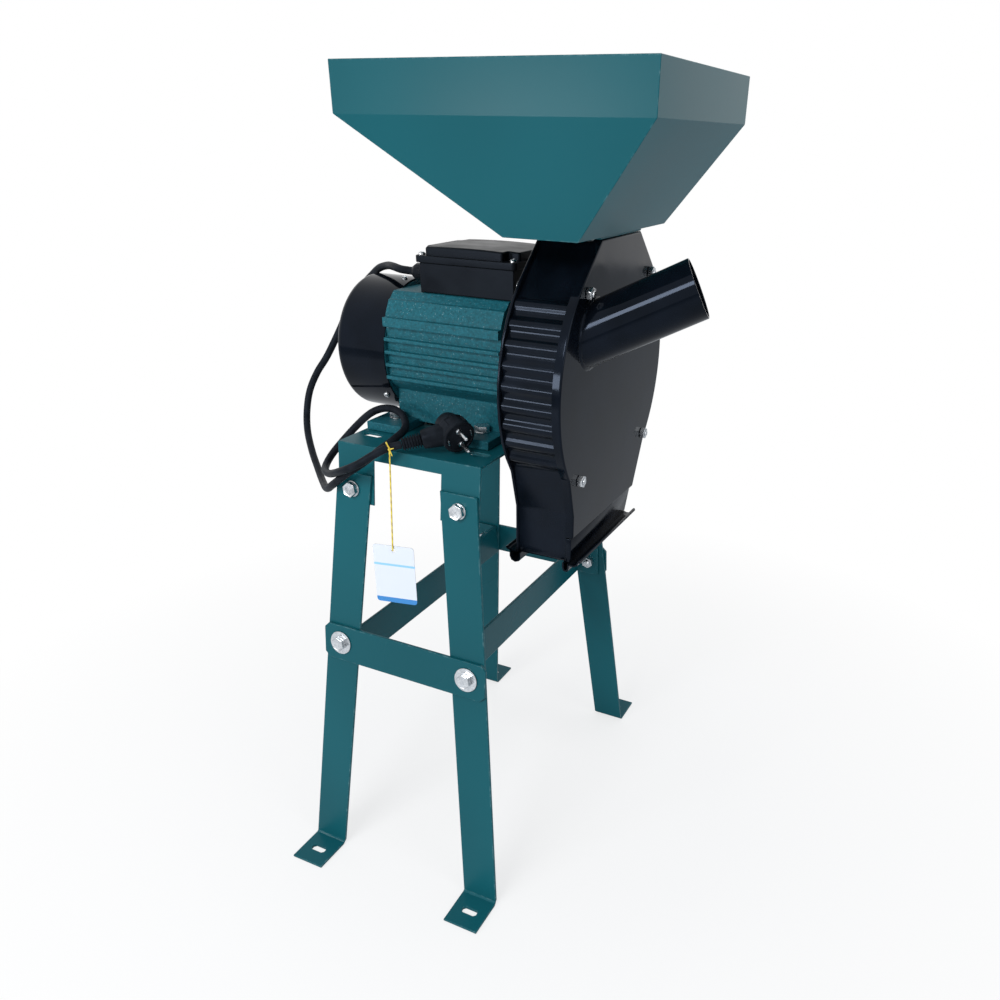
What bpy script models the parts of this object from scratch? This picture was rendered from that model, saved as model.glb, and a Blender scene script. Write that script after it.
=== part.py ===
# Hammer mill on a four-legged stand: a motor on a folded table drives a swinging-hammer
# rotor in a corrugated drum, fed by a hopper with a slide gate and by an angled feed tube.
# X runs along the motor shaft towards the mill cover, Y away from the viewer, Z up, in metres.
import bpy
import bmesh
from math import cos, sin, pi, radians, hypot, atan2
from mathutils import Matrix, Vector

MM = 0.001

# Fits shared by all pieces
SEAT = 0.3 * MM            # gap between two pieces that touch
HOLE = 0.4 * MM            # radial clearance of a bolt in its hole

# Stand
TABLE_TOP = 600 * MM
TABLE_LENGTH = 202 * MM
TABLE_WIDTH = 310 * MM
TABLE_SHEET = 3 * MM
APRON_DEPTH = 17 * MM
TAB_EDGE = 18 * MM         # table tab below the upper bolt
TAB_WIDTH = 53 * MM
TABLE_SLOT_LENGTH = 28 * MM
TABLE_SLOT_WIDTH = 11 * MM
TABLE_SLOT_X = 77 * MM
TABLE_SLOT_Y = 116 * MM
LEG_WIDTH = 50 * MM
LEG_SHEET = 4 * MM
LEG_TOP = 565 * MM
LEG_SPREAD = 128 * MM      # half distance between leg centres along X, at the floor
LEG_LEAN_X = 0.095         # run of a leg along X for each unit of height
LEG_LEAN_Y = 0.123         # run of a leg along Y for each unit of height
FOOT_LENGTH = 54 * MM
FOOT_BEND = 6 * MM
FOOT_SLOT_LENGTH = 24 * MM
FOOT_SLOT_WIDTH = 11 * MM
LEG_EDGE = 20 * MM         # leg above the upper bolt
LOWER_BOLT_Z = 332 * MM
BRACE_WIDTH = 50 * MM
BRACE_SHEET = 4 * MM
BRACE_OVERHANG = 27 * MM   # end of a cross brace beyond the bolt
BRACE_CORNER = 7 * MM
STRAP_INSET = 24 * MM      # side strap to bolt, along X
STRAP_TAB = 16 * MM        # bent end of a side strap beyond the bolt
BOLT_R = 5 * MM
BOLT_HEX = 17 * MM         # across flats
BOLT_HEAD = 6.5 * MM
BOLT_NUT = 8 * MM
BOLT_TIP = 4 * MM
WASHER_SMALL_R = 10 * MM
WASHER_LARGE_R = 16 * MM
WASHER_SHEET = 2 * MM

# Motor
SHAFT_HEIGHT = 90 * MM
MOTOR_BOLT_X = 125 * MM    # foot bolt spacing along the shaft
MOTOR_BOLT_Y = 142 * MM    # foot bolt spacing across the shaft
MOTOR_BOLT_CENTRE = -8 * MM
FOOT_PAD_LENGTH = 52 * MM
FOOT_PAD_EDGE = 31 * MM    # bolt to the outer edge of the pad
FOOT_PAD_INNER = 24 * MM
FOOT_PAD_SHEET = 11 * MM
RECESS_HEIGHT = 20 * MM     # room above a foot bolt's head
RECESS_GAP = 1.5 * MM
BODY_BACK = -75 * MM
BODY_FRONT = 85 * MM
BODY_HALF = 76 * MM        # half width between the ribs
BODY_TOP = 76 * MM
BODY_TOP_HALF = 54 * MM
BODY_BORE = 71 * MM
RIB_HEIGHT = 6 * MM
RIB_SHEET = 4.5 * MM
RIB_PITCH = 15.5 * MM
RIB_COUNT = 4
RIB_FIRST = -27 * MM       # lowest rib, from the shaft axis
BODY_SHOULDER = 8 * MM     # body's slope below its top, across
BODY_SHOULDER_DROP = 15 * MM
BODY_WAIST = 5 * MM        # body's hollow below the ribs, across
BODY_WAIST_HIGH = 42 * MM  # ends of that hollow above the table
BODY_WAIST_LOW = 25 * MM
BODY_WEB = 24 * MM         # solid foot under each side of the body
WIDE_RIB_LOW = 37 * MM
WIDE_RIB_HIGH = 48 * MM
STATOR_BORE = 47 * MM
STATOR_BACK = -50 * MM
STATOR_FRONT = 60 * MM
WINDING_R = 66 * MM
WINDING_BORE = 51 * MM
WINDING_REACH = 14 * MM
AIR_GAP = 0.6 * MM
SHAFT_CORE_R = 15 * MM
SHAFT_BEARING_R = 12.5 * MM
SHAFT_FAN_R = 9 * MM
SHAFT_MILL_R = 12 * MM
SHAFT_THREAD_R = 8.7 * MM
SHAFT_BACK = -137 * MM
SHAFT_GAP = 2 * MM         # shaft to the end shields
BEARING_R = 26 * MM
BEARING_WIDTH = 15 * MM
SHIELD_WALL = 4 * MM
SHIELD_RIM = 11 * MM
FRONT_SHIELD_R = 75 * MM
FRONT_SHIELD_NECK = 58 * MM
FAN_COVER_R = 84 * MM
FAN_COVER_SHEET = 1.8 * MM
FAN_COVER_BACK = -150 * MM
FAN_COVER_ROUND = 16 * MM
VENT_COUNT = 8
VENT_INNER = 20 * MM
VENT_OUTER = 62 * MM
VENT_WIDTH = 7 * MM
FAN_R = 72 * MM
FAN_HUB_R = 18 * MM
FAN_WIDTH = 22 * MM
FAN_BLADES = 7
BLADE_SHEET = 3 * MM

# Terminal box
BOX_BACK = -38 * MM
BOX_FRONT = 89 * MM
BOX_HALF = 51 * MM
BOX_HEIGHT = 34 * MM
BOX_WALL = 2.5 * MM
LID_LIP = 4 * MM           # lid beyond the box
LID_FLANGE = 8 * MM
LID_CROWN = 11 * MM
CAPACITOR_R = 13 * MM
CAPACITOR_LENGTH = 82 * MM
GLAND_Y = -30 * MM
GLAND_R = 13 * MM
GLAND_LENGTH = 22 * MM

# Mill housing, seen along the shaft: a round drum with a flat top and a chute below
DRUM_HEIGHT = 83 * MM      # drum centre above the table, a little below the shaft
DRUM_R = 157 * MM
DRUM_BACK = 124 * MM
DRUM_FRONT = 200 * MM
PLATE_SHEET = 3 * MM
SKIRT_DEPTH = 10 * MM
SKIRT_SHEET = 2 * MM
RIM_SHEET = 2.5 * MM
RIM_INSET = 2.6 * MM       # rim wall inside the edge of the plates
ROUND_STEPS = 10
TOP_HALF = 58 * MM
TOP_ANGLE = 132            # where the straight shoulder leaves the round, in degrees
NEAR_ANGLE = 216           # where the near chute wall leaves the round
FAR_ANGLE = -43.5          # where the far chute wall leaves the round
CHUTE_NEAR = -114 * MM
CHUTE_FAR = 66 * MM
CHUTE_KNEE = -140 * MM
CHUTE_DEPTH = 201 * MM
COVER_DEPTH = 169 * MM
WAVE_COUNT = 9
WAVE_DEPTH = 4 * MM
WAVE_START = 138
WAVE_END = 214
THROAT_HALF_X = 23 * MM
THROAT_HALF_Y = 42 * MM
STRIP_SHEET = 3 * MM
STRIP_HEIGHT = 38 * MM
RAIL_SHEET = 2.2 * MM
RAIL_WIDTH = 13 * MM
RAIL_DROP = 11 * MM
RAIL_LIP = 20 * MM
RAIL_OVERHANG = 5 * MM
RAIL_BEND = 3 * MM
DRUM_BOLT_INSET = 15 * MM  # cover bolt inside the drum's edge
DRUM_BOLT_R = 4 * MM
DRUM_BOLT_HEX = 13 * MM
DRUM_BOLT_HEAD = 5.5 * MM
DRUM_BOLT_NUT = 6.5 * MM
DRUM_BOLT_ANGLES = (49, 131, 224, 316)
SHAFT_OPENING = 20 * MM
TUBE_R = 32.5 * MM
TUBE_WALL = 2 * MM
TUBE_LENGTH = 122 * MM
TUBE_INSET = 57.5 * MM     # middle of the feed tube inside the drum's edge
TUBE_ANGLE = 140.7
TUBE_DIRECTION = Vector((0.867, 0.252, 0.430)).normalized()
SIEVE_SHEET = 2 * MM
SIEVE_START = 200
SIEVE_END = 340
SIEVE_ROWS = 3
SIEVE_COLUMNS = 9
SIEVE_BRIDGE = 4 * MM

# Rotor of the mill
HUB_R = 24 * MM
HUB_BACK = 131 * MM
DISC_R = 82 * MM
DISC_SHEET = 5 * MM
REAR_DISC_X = 138 * MM
FRONT_DISC_X = 177 * MM
PIN_CIRCLE = 68 * MM
PIN_R = 6 * MM
PIN_HEAD_R = 9.5 * MM
PIN_HEAD = 3 * MM
HAMMER_COUNT = 4
HAMMER_SHEET = 8 * MM
HAMMER_WIDTH = 30 * MM
HAMMER_GAP = 7.7 * MM      # hammer's path to the sieve
HAMMER_PLANES = (147 * MM, 165 * MM)
HAMMER_RUN = 0.3 * MM
ROTOR_NUT_HEX = 27 * MM
ROTOR_NUT = 10 * MM

# Hopper and gate
RIM_TOP = 1000 * MM
RIM_HEIGHT = 48 * MM
RIM_BACK = -66 * MM
RIM_FRONT = 285 * MM
RIM_HALF = 151 * MM
HOPPER_SHEET = 2 * MM
HOPPER_BACK = 118 * MM
HOPPER_FRONT = 203 * MM
HOPPER_HALF = 129 * MM
RUNNER_HEIGHT = 3 * MM
RUNNER_HALF = 60 * MM
RUNNER_INSET = 1.5 * MM
GATE_SHEET = 3 * MM
GATE_HALF = 50 * MM
GATE_TAIL = 32 * MM
GATE_GRIP = 14 * MM

# Supply cord, plug and hang tag
CORD_R = 4.75 * MM
CORD_STEP = 22 * MM        # distance between the curve's points
PLUG_R = 18.5 * MM
PLUG_THICK = 26 * MM
PLUG_CENTRE = Vector((52, -122, 627)) * MM
PLUG_PIN_DIRECTION = Vector((0.846, -0.464, -0.263)).normalized()
PLUG_HANDLE = 36 * MM
PLUG_RELIEF = 24 * MM
PLUG_RELIEF_R = 7 * MM
PLUG_PIN_R = 2.4 * MM
PLUG_PIN_LENGTH = 19 * MM
PLUG_PIN_SPACING = 19 * MM
STRING_R = 0.9 * MM
STRING_STEP = 5.8 * MM
TAG_WIDTH = 54 * MM
TAG_HEIGHT = 80 * MM
TAG_SHEET = 0.8 * MM
TAG_HOLE_R = 3 * MM
TAG_TOP = Vector((-13, -178, 486)) * MM

# Sides of the round pieces; pieces that sit in each other have the same count
BORE_SIDES = 24
COVER_SIDES = 28
DISC_SIDES = 20
SHAFT_SIDES = 16
PIN_SIDES = 10
BOLT_SIDES = 12
HOLE_SIDES = 8

# Sizes that follow from the ones above
UPPER_BOLT_Z = LEG_TOP - LEG_EDGE
RIM_BOTTOM = RIM_TOP - RIM_HEIGHT
DRUM_BOLT_CIRCLE = DRUM_R - DRUM_BOLT_INSET
BOLT_HOLE_R = (BOLT_R + HOLE) / cos(pi / HOLE_SIDES)
DRUM_HOLE_R = (DRUM_BOLT_R + HOLE) / cos(pi / HOLE_SIDES)
AXIS_Z = TABLE_TOP + SHAFT_HEIGHT
DRUM_Z = TABLE_TOP + DRUM_HEIGHT
RIM_WALL_FRONT = DRUM_FRONT - PLATE_SHEET - SEAT
RIM_WALL_BACK = DRUM_BACK + PLATE_SHEET + SEAT
DRUM_TOP = DRUM_Z + DRUM_R
HOPPER_FLOOR = DRUM_TOP + SEAT + RUNNER_HEIGHT
THROAT_X = (HOPPER_BACK + HOPPER_FRONT) / 2
TUBE_SIDE = TUBE_R * (1 - TUBE_DIRECTION.x ** 2) ** 0.5
X_MAX = DRUM_FRONT + TUBE_LENGTH * TUBE_DIRECTION.x + TUBE_SIDE
X_MIN = -LEG_SPREAD - LEG_WIDTH / 2
ORIGIN_X = (X_MAX + X_MIN) / 2
SIEVE_R = DRUM_BOLT_CIRCLE - DRUM_BOLT_R - SEAT
HAMMER_REACH = SIEVE_R - (SHAFT_HEIGHT - DRUM_HEIGHT) - HAMMER_GAP - PIN_CIRCLE
TUBE_ROOT_Y = (DRUM_R - TUBE_INSET) * cos(radians(TUBE_ANGLE))
TUBE_ROOT_H = (DRUM_R - TUBE_INSET) * sin(radians(TUBE_ANGLE))


# Scene and material helpers
def clear_scene():
    for thing in list(bpy.data.objects):
        bpy.data.objects.remove(thing, do_unlink=True)


def srgb_to_linear(value):
    return value / 12.92 if value <= 0.04045 else ((value + 0.055) / 1.055) ** 2.4


def finish(name, hex_colour, roughness, metallic=0.0):
    mat = bpy.data.materials.new(name)
    mat.use_nodes = True
    shader = mat.node_tree.nodes["Principled BSDF"]
    channels = [srgb_to_linear(int(hex_colour[i:i + 2], 16) / 255) for i in (1, 3, 5)]
    shader.inputs["Base Color"].default_value = (*channels, 1)
    shader.inputs["Roughness"].default_value = roughness
    shader.inputs["Metallic"].default_value = metallic
    return mat


def empty(name, location, parent=None):
    guide = bpy.data.objects.new(name, None)
    bpy.context.scene.collection.objects.link(guide)
    guide.location = location
    guide.parent = parent
    return guide


def add_object(name, bm, material=None, parent=None, location=(0, 0, 0), smooth=None):
    """Turns a bmesh into a named object; smooth is the angle above which edges stay sharp."""
    bmesh.ops.recalc_face_normals(bm, faces=bm.faces)
    mesh = bpy.data.meshes.new(name)
    bm.to_mesh(mesh)
    bm.free()
    if smooth is not None:
        mesh.shade_smooth()
        mesh.set_sharp_from_angle(angle=radians(smooth))
    thing = bpy.data.objects.new(name, mesh)
    bpy.context.scene.collection.objects.link(thing)
    thing.parent = parent
    thing.location = location
    if material:
        mesh.materials.append(material)
    return thing


def combine(target, bm, operation):
    """Cuts a bmesh out of an object, or unites it with the object, as a live Boolean."""
    tool = add_object(target.name + "_" + operation.lower(), bm, parent=target)
    tool.hide_render = True
    tool.display_type = "WIRE"
    modifier = target.modifiers.new(operation.title(), "BOOLEAN")
    modifier.operation = operation
    modifier.object = tool
    return tool


# Shape helpers
def add_loft(bm, rings, closed=False):
    """Bridges rings of equally many points; open chains get a cap at each end."""
    loops = [[bm.verts.new(point) for point in ring] for ring in rings]
    count = len(loops[0])
    pairs = list(zip(loops, loops[1:]))
    if closed:
        pairs.append((loops[-1], loops[0]))
    for first, second in pairs:
        for i in range(count):
            j = (i + 1) % count
            bm.faces.new((first[i], first[j], second[j], second[i]))
    if not closed:
        bm.faces.new(list(reversed(loops[0])))
        bm.faces.new(loops[-1])
    return bm


def loft(rings, closed=False):
    return add_loft(bmesh.new(), rings, closed)


def circle(x, radius, count):
    """A ring of points round the X axis."""
    angles = [2 * pi * i / count for i in range(count)]
    return [Vector((x, radius * cos(a), radius * sin(a))) for a in angles]


def hexagon(x, across, count=BOLT_SIDES):
    """A hexagon round the X axis with its corners and mid-sides as a ring of twelve points."""
    corner = across / 3 ** 0.5
    points = []
    for i in range(count):
        radius = corner if i % 2 == 0 else across / 2
        angle = 2 * pi * i / count
        points.append(Vector((x, radius * cos(angle), radius * sin(angle))))
    return points


def turned(profile, count, closed=False):
    """Revolves (x, radius) pairs about the X axis."""
    return loft([circle(x, radius, count) for x, radius in profile], closed)


def add_box(bm, low, high):
    corners = [Vector((x, y, z)) for z in (low[2], high[2]) for x, y in
               ((low[0], low[1]), (high[0], low[1]), (high[0], high[1]), (low[0], high[1]))]
    return add_loft(bm, (corners[:4], corners[4:]))


def box(low, high):
    return add_box(bmesh.new(), low, high)


def add_rod(bm, start, end, radius, count=16, end_radius=None):
    """A round bar between two points, tapered if end_radius is given."""
    axis = (Vector(end) - Vector(start)).normalized()
    turn = axis.to_track_quat("X", "Z").to_matrix()
    last = radius if end_radius is None else end_radius
    rings = [[Vector(place) + turn @ point for point in circle(0, size, count)]
             for place, size in ((start, radius), (end, last))]
    return add_loft(bm, rings)


def prism(outline, x_start, x_end):
    """Extrudes an outline of (y, z) points along X."""
    return loft([[Vector((x, y, z)) for y, z in outline] for x in (x_start, x_end)])


def slot_ring(centre, length, width, z, count=HOLE_SIDES):
    """A slot along X with round ends, as a ring of points at one height."""
    points = []
    for i in range(count):
        angle = 2 * pi * (i + 0.5) / count
        side = (length - width) / 2 if cos(angle) > 0 else -(length - width) / 2
        x = centre[0] + side + width / 2 * cos(angle)
        points.append(Vector((x, centre[1] + width / 2 * sin(angle), z)))
    return points


def arc(radius, start, end, steps):
    """Points (y, h) on a circle about the shaft, angles in degrees from +Y towards the top."""
    angles = [radians(start + (end - start) * i / steps) for i in range(steps + 1)]
    return [(radius * cos(a), radius * sin(a)) for a in angles]


def inset_path(points, distance):
    """Moves an open chain of points to its left by a distance, with mitred corners."""
    moved = []
    for i, (y, h) in enumerate(points):
        before = points[max(i - 1, 0)]
        after = points[min(i + 1, len(points) - 1)]
        here = (y, h)
        normals = []
        for a, b in ((before, here), (here, after)):
            length = hypot(b[0] - a[0], b[1] - a[1])
            if length > 0:
                normals.append(Vector((-(b[1] - a[1]) / length, (b[0] - a[0]) / length)))
        middle = sum(normals, Vector((0, 0))).normalized()
        reach = distance / middle.dot(normals[0])
        moved.append((y + middle.x * reach, h + middle.y * reach))
    return moved


def smooth_route(points, step):
    """Reads points about a step apart from a Catmull-Rom curve through the route's points."""
    chain = [points[0] * 2 - points[1]] + list(points) + [points[-1] * 2 - points[-2]]
    fine = []
    steps = 24
    for a, b, c, d in zip(chain, chain[1:], chain[2:], chain[3:]):
        for i in range(steps):
            t = i / steps
            fine.append(0.5 * ((2 * b) + (c - a) * t + (2 * a - 5 * b + 4 * c - d) * t * t
                               + (3 * b - a - 3 * c + d) * t ** 3))
    fine.append(points[-1])
    lengths = [0.0]
    for a, b in zip(fine, fine[1:]):
        lengths.append(lengths[-1] + (b - a).length)
    route = []
    k = 0
    count = round(lengths[-1] / step) + 1
    for i in range(count):
        goal = lengths[-1] * i / (count - 1)
        while k < len(fine) - 2 and lengths[k + 1] < goal:
            k += 1
        t = (goal - lengths[k]) / (lengths[k + 1] - lengths[k])
        route.append(fine[k].lerp(fine[k + 1], min(t, 1)))
    return route, lengths[-1]


def tube_curve(name, points, radius, resolution, material, parent):
    """A round cord along a chain of points, with filled ends."""
    curve = bpy.data.curves.new(name, "CURVE")
    curve.dimensions = "3D"
    curve.bevel_depth = radius
    curve.bevel_resolution = resolution
    curve.use_fill_caps = True
    spline = curve.splines.new("POLY")
    spline.points.add(len(points) - 1)
    for slot, point in zip(spline.points, points):
        slot.co = (*point, 1)
    curve.materials.append(material)
    thing = bpy.data.objects.new(name, curve)
    bpy.context.scene.collection.objects.link(thing)
    thing.parent = parent
    return thing


# Bolts lie along X: the head's underside is at x = 0 and the joint that they clamp is at x > 0
def bolt_shape(radius, hex_flats, head, washer_r, washer, grip, nut, tip):
    start = -washer - head
    rings = [hexagon(start, hex_flats), hexagon(-washer, hex_flats)]
    if washer:
        rings += [circle(-washer, washer_r, BOLT_SIDES), circle(0, washer_r, BOLT_SIDES)]
    rings += [circle(0, radius, BOLT_SIDES), circle(grip, radius, BOLT_SIDES), hexagon(grip, hex_flats),
              hexagon(grip + nut, hex_flats), circle(grip + nut, radius, BOLT_SIDES),
              circle(grip + nut + tip, radius, BOLT_SIDES)]
    bolt = loft(rings)
    bmesh.ops.dissolve_limit(bolt, angle_limit=radians(1), verts=bolt.verts, edges=bolt.edges)
    return bolt


def place_along(bm, origin, direction):
    """Turns a shape that lies along X to a direction and moves it to its place."""
    turn = Vector(direction).to_track_quat("X", "Z").to_matrix().to_4x4()
    bmesh.ops.transform(bm, matrix=Matrix.Translation(origin) @ turn, verts=bm.verts)
    return bm


# The stand: each leg leans in both directions, flat against the table's bent apron
def lean_face(z):
    """Distance of the apron's outer face from the middle plane at a height."""
    return TABLE_WIDTH / 2 + LEG_LEAN_Y * (TABLE_TOP - z)


def leg_centre(z):
    return LEG_SPREAD - LEG_LEAN_X * z


LEAN_SCALE = (1 + LEG_LEAN_Y ** 2) ** 0.5


def lean_point(side_x, side_y, z, outward):
    """A point on a leg's centre line, a distance outwards from the apron's outer face."""
    across = side_y * (lean_face(z) + outward * LEAN_SCALE)
    return Vector((side_x * leg_centre(z), across, z))


def outward_normal(side_y):
    return Vector((0, side_y, LEG_LEAN_Y)).normalized()


def make_table(material, parent):
    half = TABLE_WIDTH / 2
    low = UPPER_BOLT_Z - TAB_EDGE
    deep = lean_face(low)
    sheet = TABLE_SHEET
    outline = [(-half, TABLE_TOP), (half, TABLE_TOP), (deep, low), (deep - sheet * LEAN_SCALE, low),
               (half - sheet * LEAN_SCALE + LEG_LEAN_Y * sheet, TABLE_TOP - sheet),
               (-half + sheet * LEAN_SCALE - LEG_LEAN_Y * sheet, TABLE_TOP - sheet),
               (-deep + sheet * LEAN_SCALE, low), (-deep, low)]
    table = add_object("table", prism(outline, -TABLE_LENGTH / 2, TABLE_LENGTH / 2), material, parent)
    cuts = bmesh.new()
    window = TABLE_LENGTH / 2 - TAB_WIDTH
    add_box(cuts, (-window, -deep - sheet, low - sheet), (window, deep + sheet, TABLE_TOP - APRON_DEPTH))
    for side_x in (-1, 1):
        for side_y in (-1, 1):
            normal = outward_normal(side_y)
            middle = lean_point(side_x, side_y, UPPER_BOLT_Z, 0)
            add_rod(cuts, middle - normal * sheet * 2, middle + normal * sheet, BOLT_HOLE_R, HOLE_SIDES)
            slot = (side_x * TABLE_SLOT_X, side_y * TABLE_SLOT_Y)
            rings = [slot_ring(slot, TABLE_SLOT_LENGTH, TABLE_SLOT_WIDTH, z)
                     for z in (TABLE_TOP - 2 * sheet, TABLE_TOP + sheet)]
            add_loft(cuts, rings)
            x, y = motor_bolt_place(side_x, side_y)
            add_rod(cuts, (x, y, TABLE_TOP - 2 * sheet), (x, y, TABLE_TOP + sheet), BOLT_HOLE_R, HOLE_SIDES)
    combine(table, cuts, "DIFFERENCE")


def make_leg(name, side_x, side_y, material, parent):
    inner = SEAT
    outer = SEAT + LEG_SHEET

    def station(z_inner, z_outer):
        a = lean_point(side_x, side_y, z_inner, inner)
        b = lean_point(side_x, side_y, z_outer, outer)
        half = Vector((LEG_WIDTH / 2, 0, 0))
        return [a - half, a + half, b + half, b - half]

    heel = lean_point(side_x, side_y, 0, inner)
    crook = lean_point(side_x, side_y, LEG_SHEET, outer)
    half = Vector((LEG_WIDTH / 2, 0, 0))
    bend = Vector((0, side_y * FOOT_BEND, 0))
    heel_in = heel + bend
    crook_out = crook + bend * 0.4
    toe = Vector((heel.x, crook.y + side_y * FOOT_LENGTH, 0))
    up = Vector((0, 0, LEG_SHEET))
    rings = [station(LEG_TOP, LEG_TOP), station(FOOT_BEND, LEG_SHEET + FOOT_BEND * 0.4),
             [heel_in - half, heel_in + half, crook_out + half, crook_out - half],
             [toe - half, toe + half, toe + up + half, toe + up - half]]
    leg = add_object(name, loft(rings), material, parent)
    cuts = bmesh.new()
    normal = outward_normal(side_y)
    for z in (UPPER_BOLT_Z, LOWER_BOLT_Z):
        middle = lean_point(side_x, side_y, z, 0)
        add_rod(cuts, middle - normal * LEG_SHEET, middle + normal * LEG_SHEET * 2.5,
                BOLT_HOLE_R, HOLE_SIDES)
    hole = (toe.x, (crook_out.y + toe.y) / 2)
    add_loft(cuts, [slot_ring(hole, FOOT_SLOT_WIDTH + FOOT_SLOT_LENGTH / 2, FOOT_SLOT_WIDTH, z)
                    for z in (-LEG_SHEET, 2 * LEG_SHEET)])
    combine(leg, cuts, "DIFFERENCE")


def make_cross_brace(name, side_y, material, parent):
    """A flat bar across the outside of two legs, with clipped corners."""
    reach = leg_centre(LOWER_BOLT_Z) + BRACE_OVERHANG
    half = BRACE_WIDTH / 2
    clip = BRACE_CORNER
    outline = [(-reach + clip, half), (reach - clip, half), (reach, half - clip), (reach, -half + clip),
               (reach - clip, -half), (-reach + clip, -half), (-reach, -half + clip), (-reach, half - clip)]
    rings = []
    for outward in (LEG_SHEET + 2 * SEAT, LEG_SHEET + 2 * SEAT + BRACE_SHEET):
        ring = []
        for x, h in outline:
            across = lean_face(LOWER_BOLT_Z + h) + outward * LEAN_SCALE
            ring.append(Vector((x, side_y * across, LOWER_BOLT_Z + h)))
        rings.append(ring)
    brace = add_object(name, loft(rings), material, parent)
    cuts = bmesh.new()
    normal = outward_normal(side_y)
    for side_x in (-1, 1):
        middle = lean_point(side_x, side_y, LOWER_BOLT_Z, 0)
        add_rod(cuts, middle, middle + normal * (LEG_SHEET + BRACE_SHEET) * 2, BOLT_HOLE_R, HOLE_SIDES)
    combine(brace, cuts, "DIFFERENCE")


def make_side_strap(name, side_x, material, parent):
    """A flat bar between near and far legs whose bent ends lie on the legs' inner faces."""
    run = side_x * (leg_centre(LOWER_BOLT_Z) - STRAP_INSET)
    end = side_x * (leg_centre(LOWER_BOLT_Z) + STRAP_TAB)
    sheet = BRACE_SHEET * side_x
    rings = []
    for side_y, places in ((-1, ((end, True), (run, False))), (1, ((run, False), (end, True)))):
        for x, flat in places:
            ring = []
            for h in (-BRACE_WIDTH / 2, BRACE_WIDTH / 2):
                outer = side_y * lean_face(LOWER_BOLT_Z + h)
                inner = outer - side_y * BRACE_SHEET * LEAN_SCALE
                pair = [Vector((x, outer, LOWER_BOLT_Z + h)),
                        Vector((x if flat else x + sheet, inner, LOWER_BOLT_Z + h))]
                ring += pair if h < 0 else reversed(pair)
            rings.append(ring)
    strap = add_object(name, loft(rings), material, parent)
    cuts = bmesh.new()
    for side_y in (-1, 1):
        middle = lean_point(side_x, side_y, LOWER_BOLT_Z, 0)
        normal = outward_normal(side_y)
        add_rod(cuts, middle - normal * BRACE_SHEET * 2, middle + normal * BRACE_SHEET,
                BOLT_HOLE_R, HOLE_SIDES)
    combine(strap, cuts, "DIFFERENCE")


def make_leg_bolts(corner, side_x, side_y, material, parent):
    inward = -outward_normal(side_y)
    upper_head = LEG_SHEET + 2 * SEAT
    upper = bolt_shape(BOLT_R, BOLT_HEX, BOLT_HEAD, WASHER_SMALL_R, WASHER_SHEET,
                       upper_head + TABLE_SHEET + SEAT, BOLT_NUT, BOLT_TIP)
    place_along(upper, lean_point(side_x, side_y, UPPER_BOLT_Z, 0) - inward * upper_head, inward)
    add_object("upper_bolt_" + corner, upper, material, parent, smooth=30)
    lower_head = LEG_SHEET + BRACE_SHEET + 3 * SEAT
    lower = bolt_shape(BOLT_R, BOLT_HEX, BOLT_HEAD, WASHER_LARGE_R, WASHER_SHEET,
                       lower_head + BRACE_SHEET + SEAT, BOLT_NUT, BOLT_TIP)
    place_along(lower, lean_point(side_x, side_y, LOWER_BOLT_Z, 0) - inward * lower_head, inward)
    add_object("lower_bolt_" + corner, lower, material, parent, smooth=30)


def make_stand(paint, zinc, parent):
    corners = {"near_left": (-1, -1), "near_right": (1, -1), "far_right": (1, 1), "far_left": (-1, 1)}
    make_table(paint, parent)
    for corner, (side_x, side_y) in corners.items():
        make_leg("leg_" + corner, side_x, side_y, paint, parent)
        make_leg_bolts(corner, side_x, side_y, zinc, parent)
        make_motor_bolt(corner, side_x, side_y, zinc, parent)
    make_cross_brace("brace_near", -1, paint, parent)
    make_cross_brace("brace_far", 1, paint, parent)
    make_side_strap("brace_left", -1, paint, parent)
    make_side_strap("brace_right", 1, paint, parent)


# The motor: ribbed body on four foot pads, end shields, windings, shaft, fan and cowl
def motor_bolt_place(side_x, side_y):
    return MOTOR_BOLT_CENTRE + side_x * MOTOR_BOLT_X / 2, side_y * MOTOR_BOLT_Y / 2


def make_motor_bolt(corner, side_x, side_y, material, parent):
    x, y = motor_bolt_place(side_x, side_y)
    head = TABLE_TOP + SEAT + FOOT_PAD_SHEET + SEAT
    bolt = bolt_shape(BOLT_R, BOLT_HEX, BOLT_HEAD, WASHER_SMALL_R, WASHER_SHEET,
                      head - TABLE_TOP + TABLE_SHEET + SEAT, BOLT_NUT, BOLT_TIP)
    place_along(bolt, (x, y, head), (0, 0, -1))
    add_object("motor_bolt_" + corner, bolt, material, parent, smooth=30)


def body_side():
    """Near-side outline of the ribbed body as (distance from the middle plane, height), top to foot."""
    low = -SHAFT_HEIGHT + SEAT + FOOT_PAD_SHEET * 0.6
    foot = -SHAFT_HEIGHT
    side = [(BODY_TOP_HALF, BODY_TOP), (BODY_HALF - BODY_SHOULDER, BODY_TOP - BODY_SHOULDER_DROP),
            (BODY_HALF - BODY_SHOULDER / 4, WIDE_RIB_HIGH + RIB_SHEET)]
    ribs = [(RIB_FIRST + i * RIB_PITCH, RIB_FIRST + i * RIB_PITCH + RIB_SHEET) for i in range(RIB_COUNT)]
    for rib_low, rib_high in [(WIDE_RIB_LOW, WIDE_RIB_HIGH)] + ribs[::-1]:
        side += [(BODY_HALF, rib_high), (BODY_HALF + RIB_HEIGHT, rib_high),
                 (BODY_HALF + RIB_HEIGHT, rib_low), (BODY_HALF, rib_low)]
    side += [(BODY_HALF - BODY_WAIST, foot + BODY_WAIST_HIGH),
             (BODY_HALF - BODY_WAIST / 2, foot + BODY_WAIST_LOW), (BODY_HALF + RIB_HEIGHT, low)]
    return side


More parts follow.
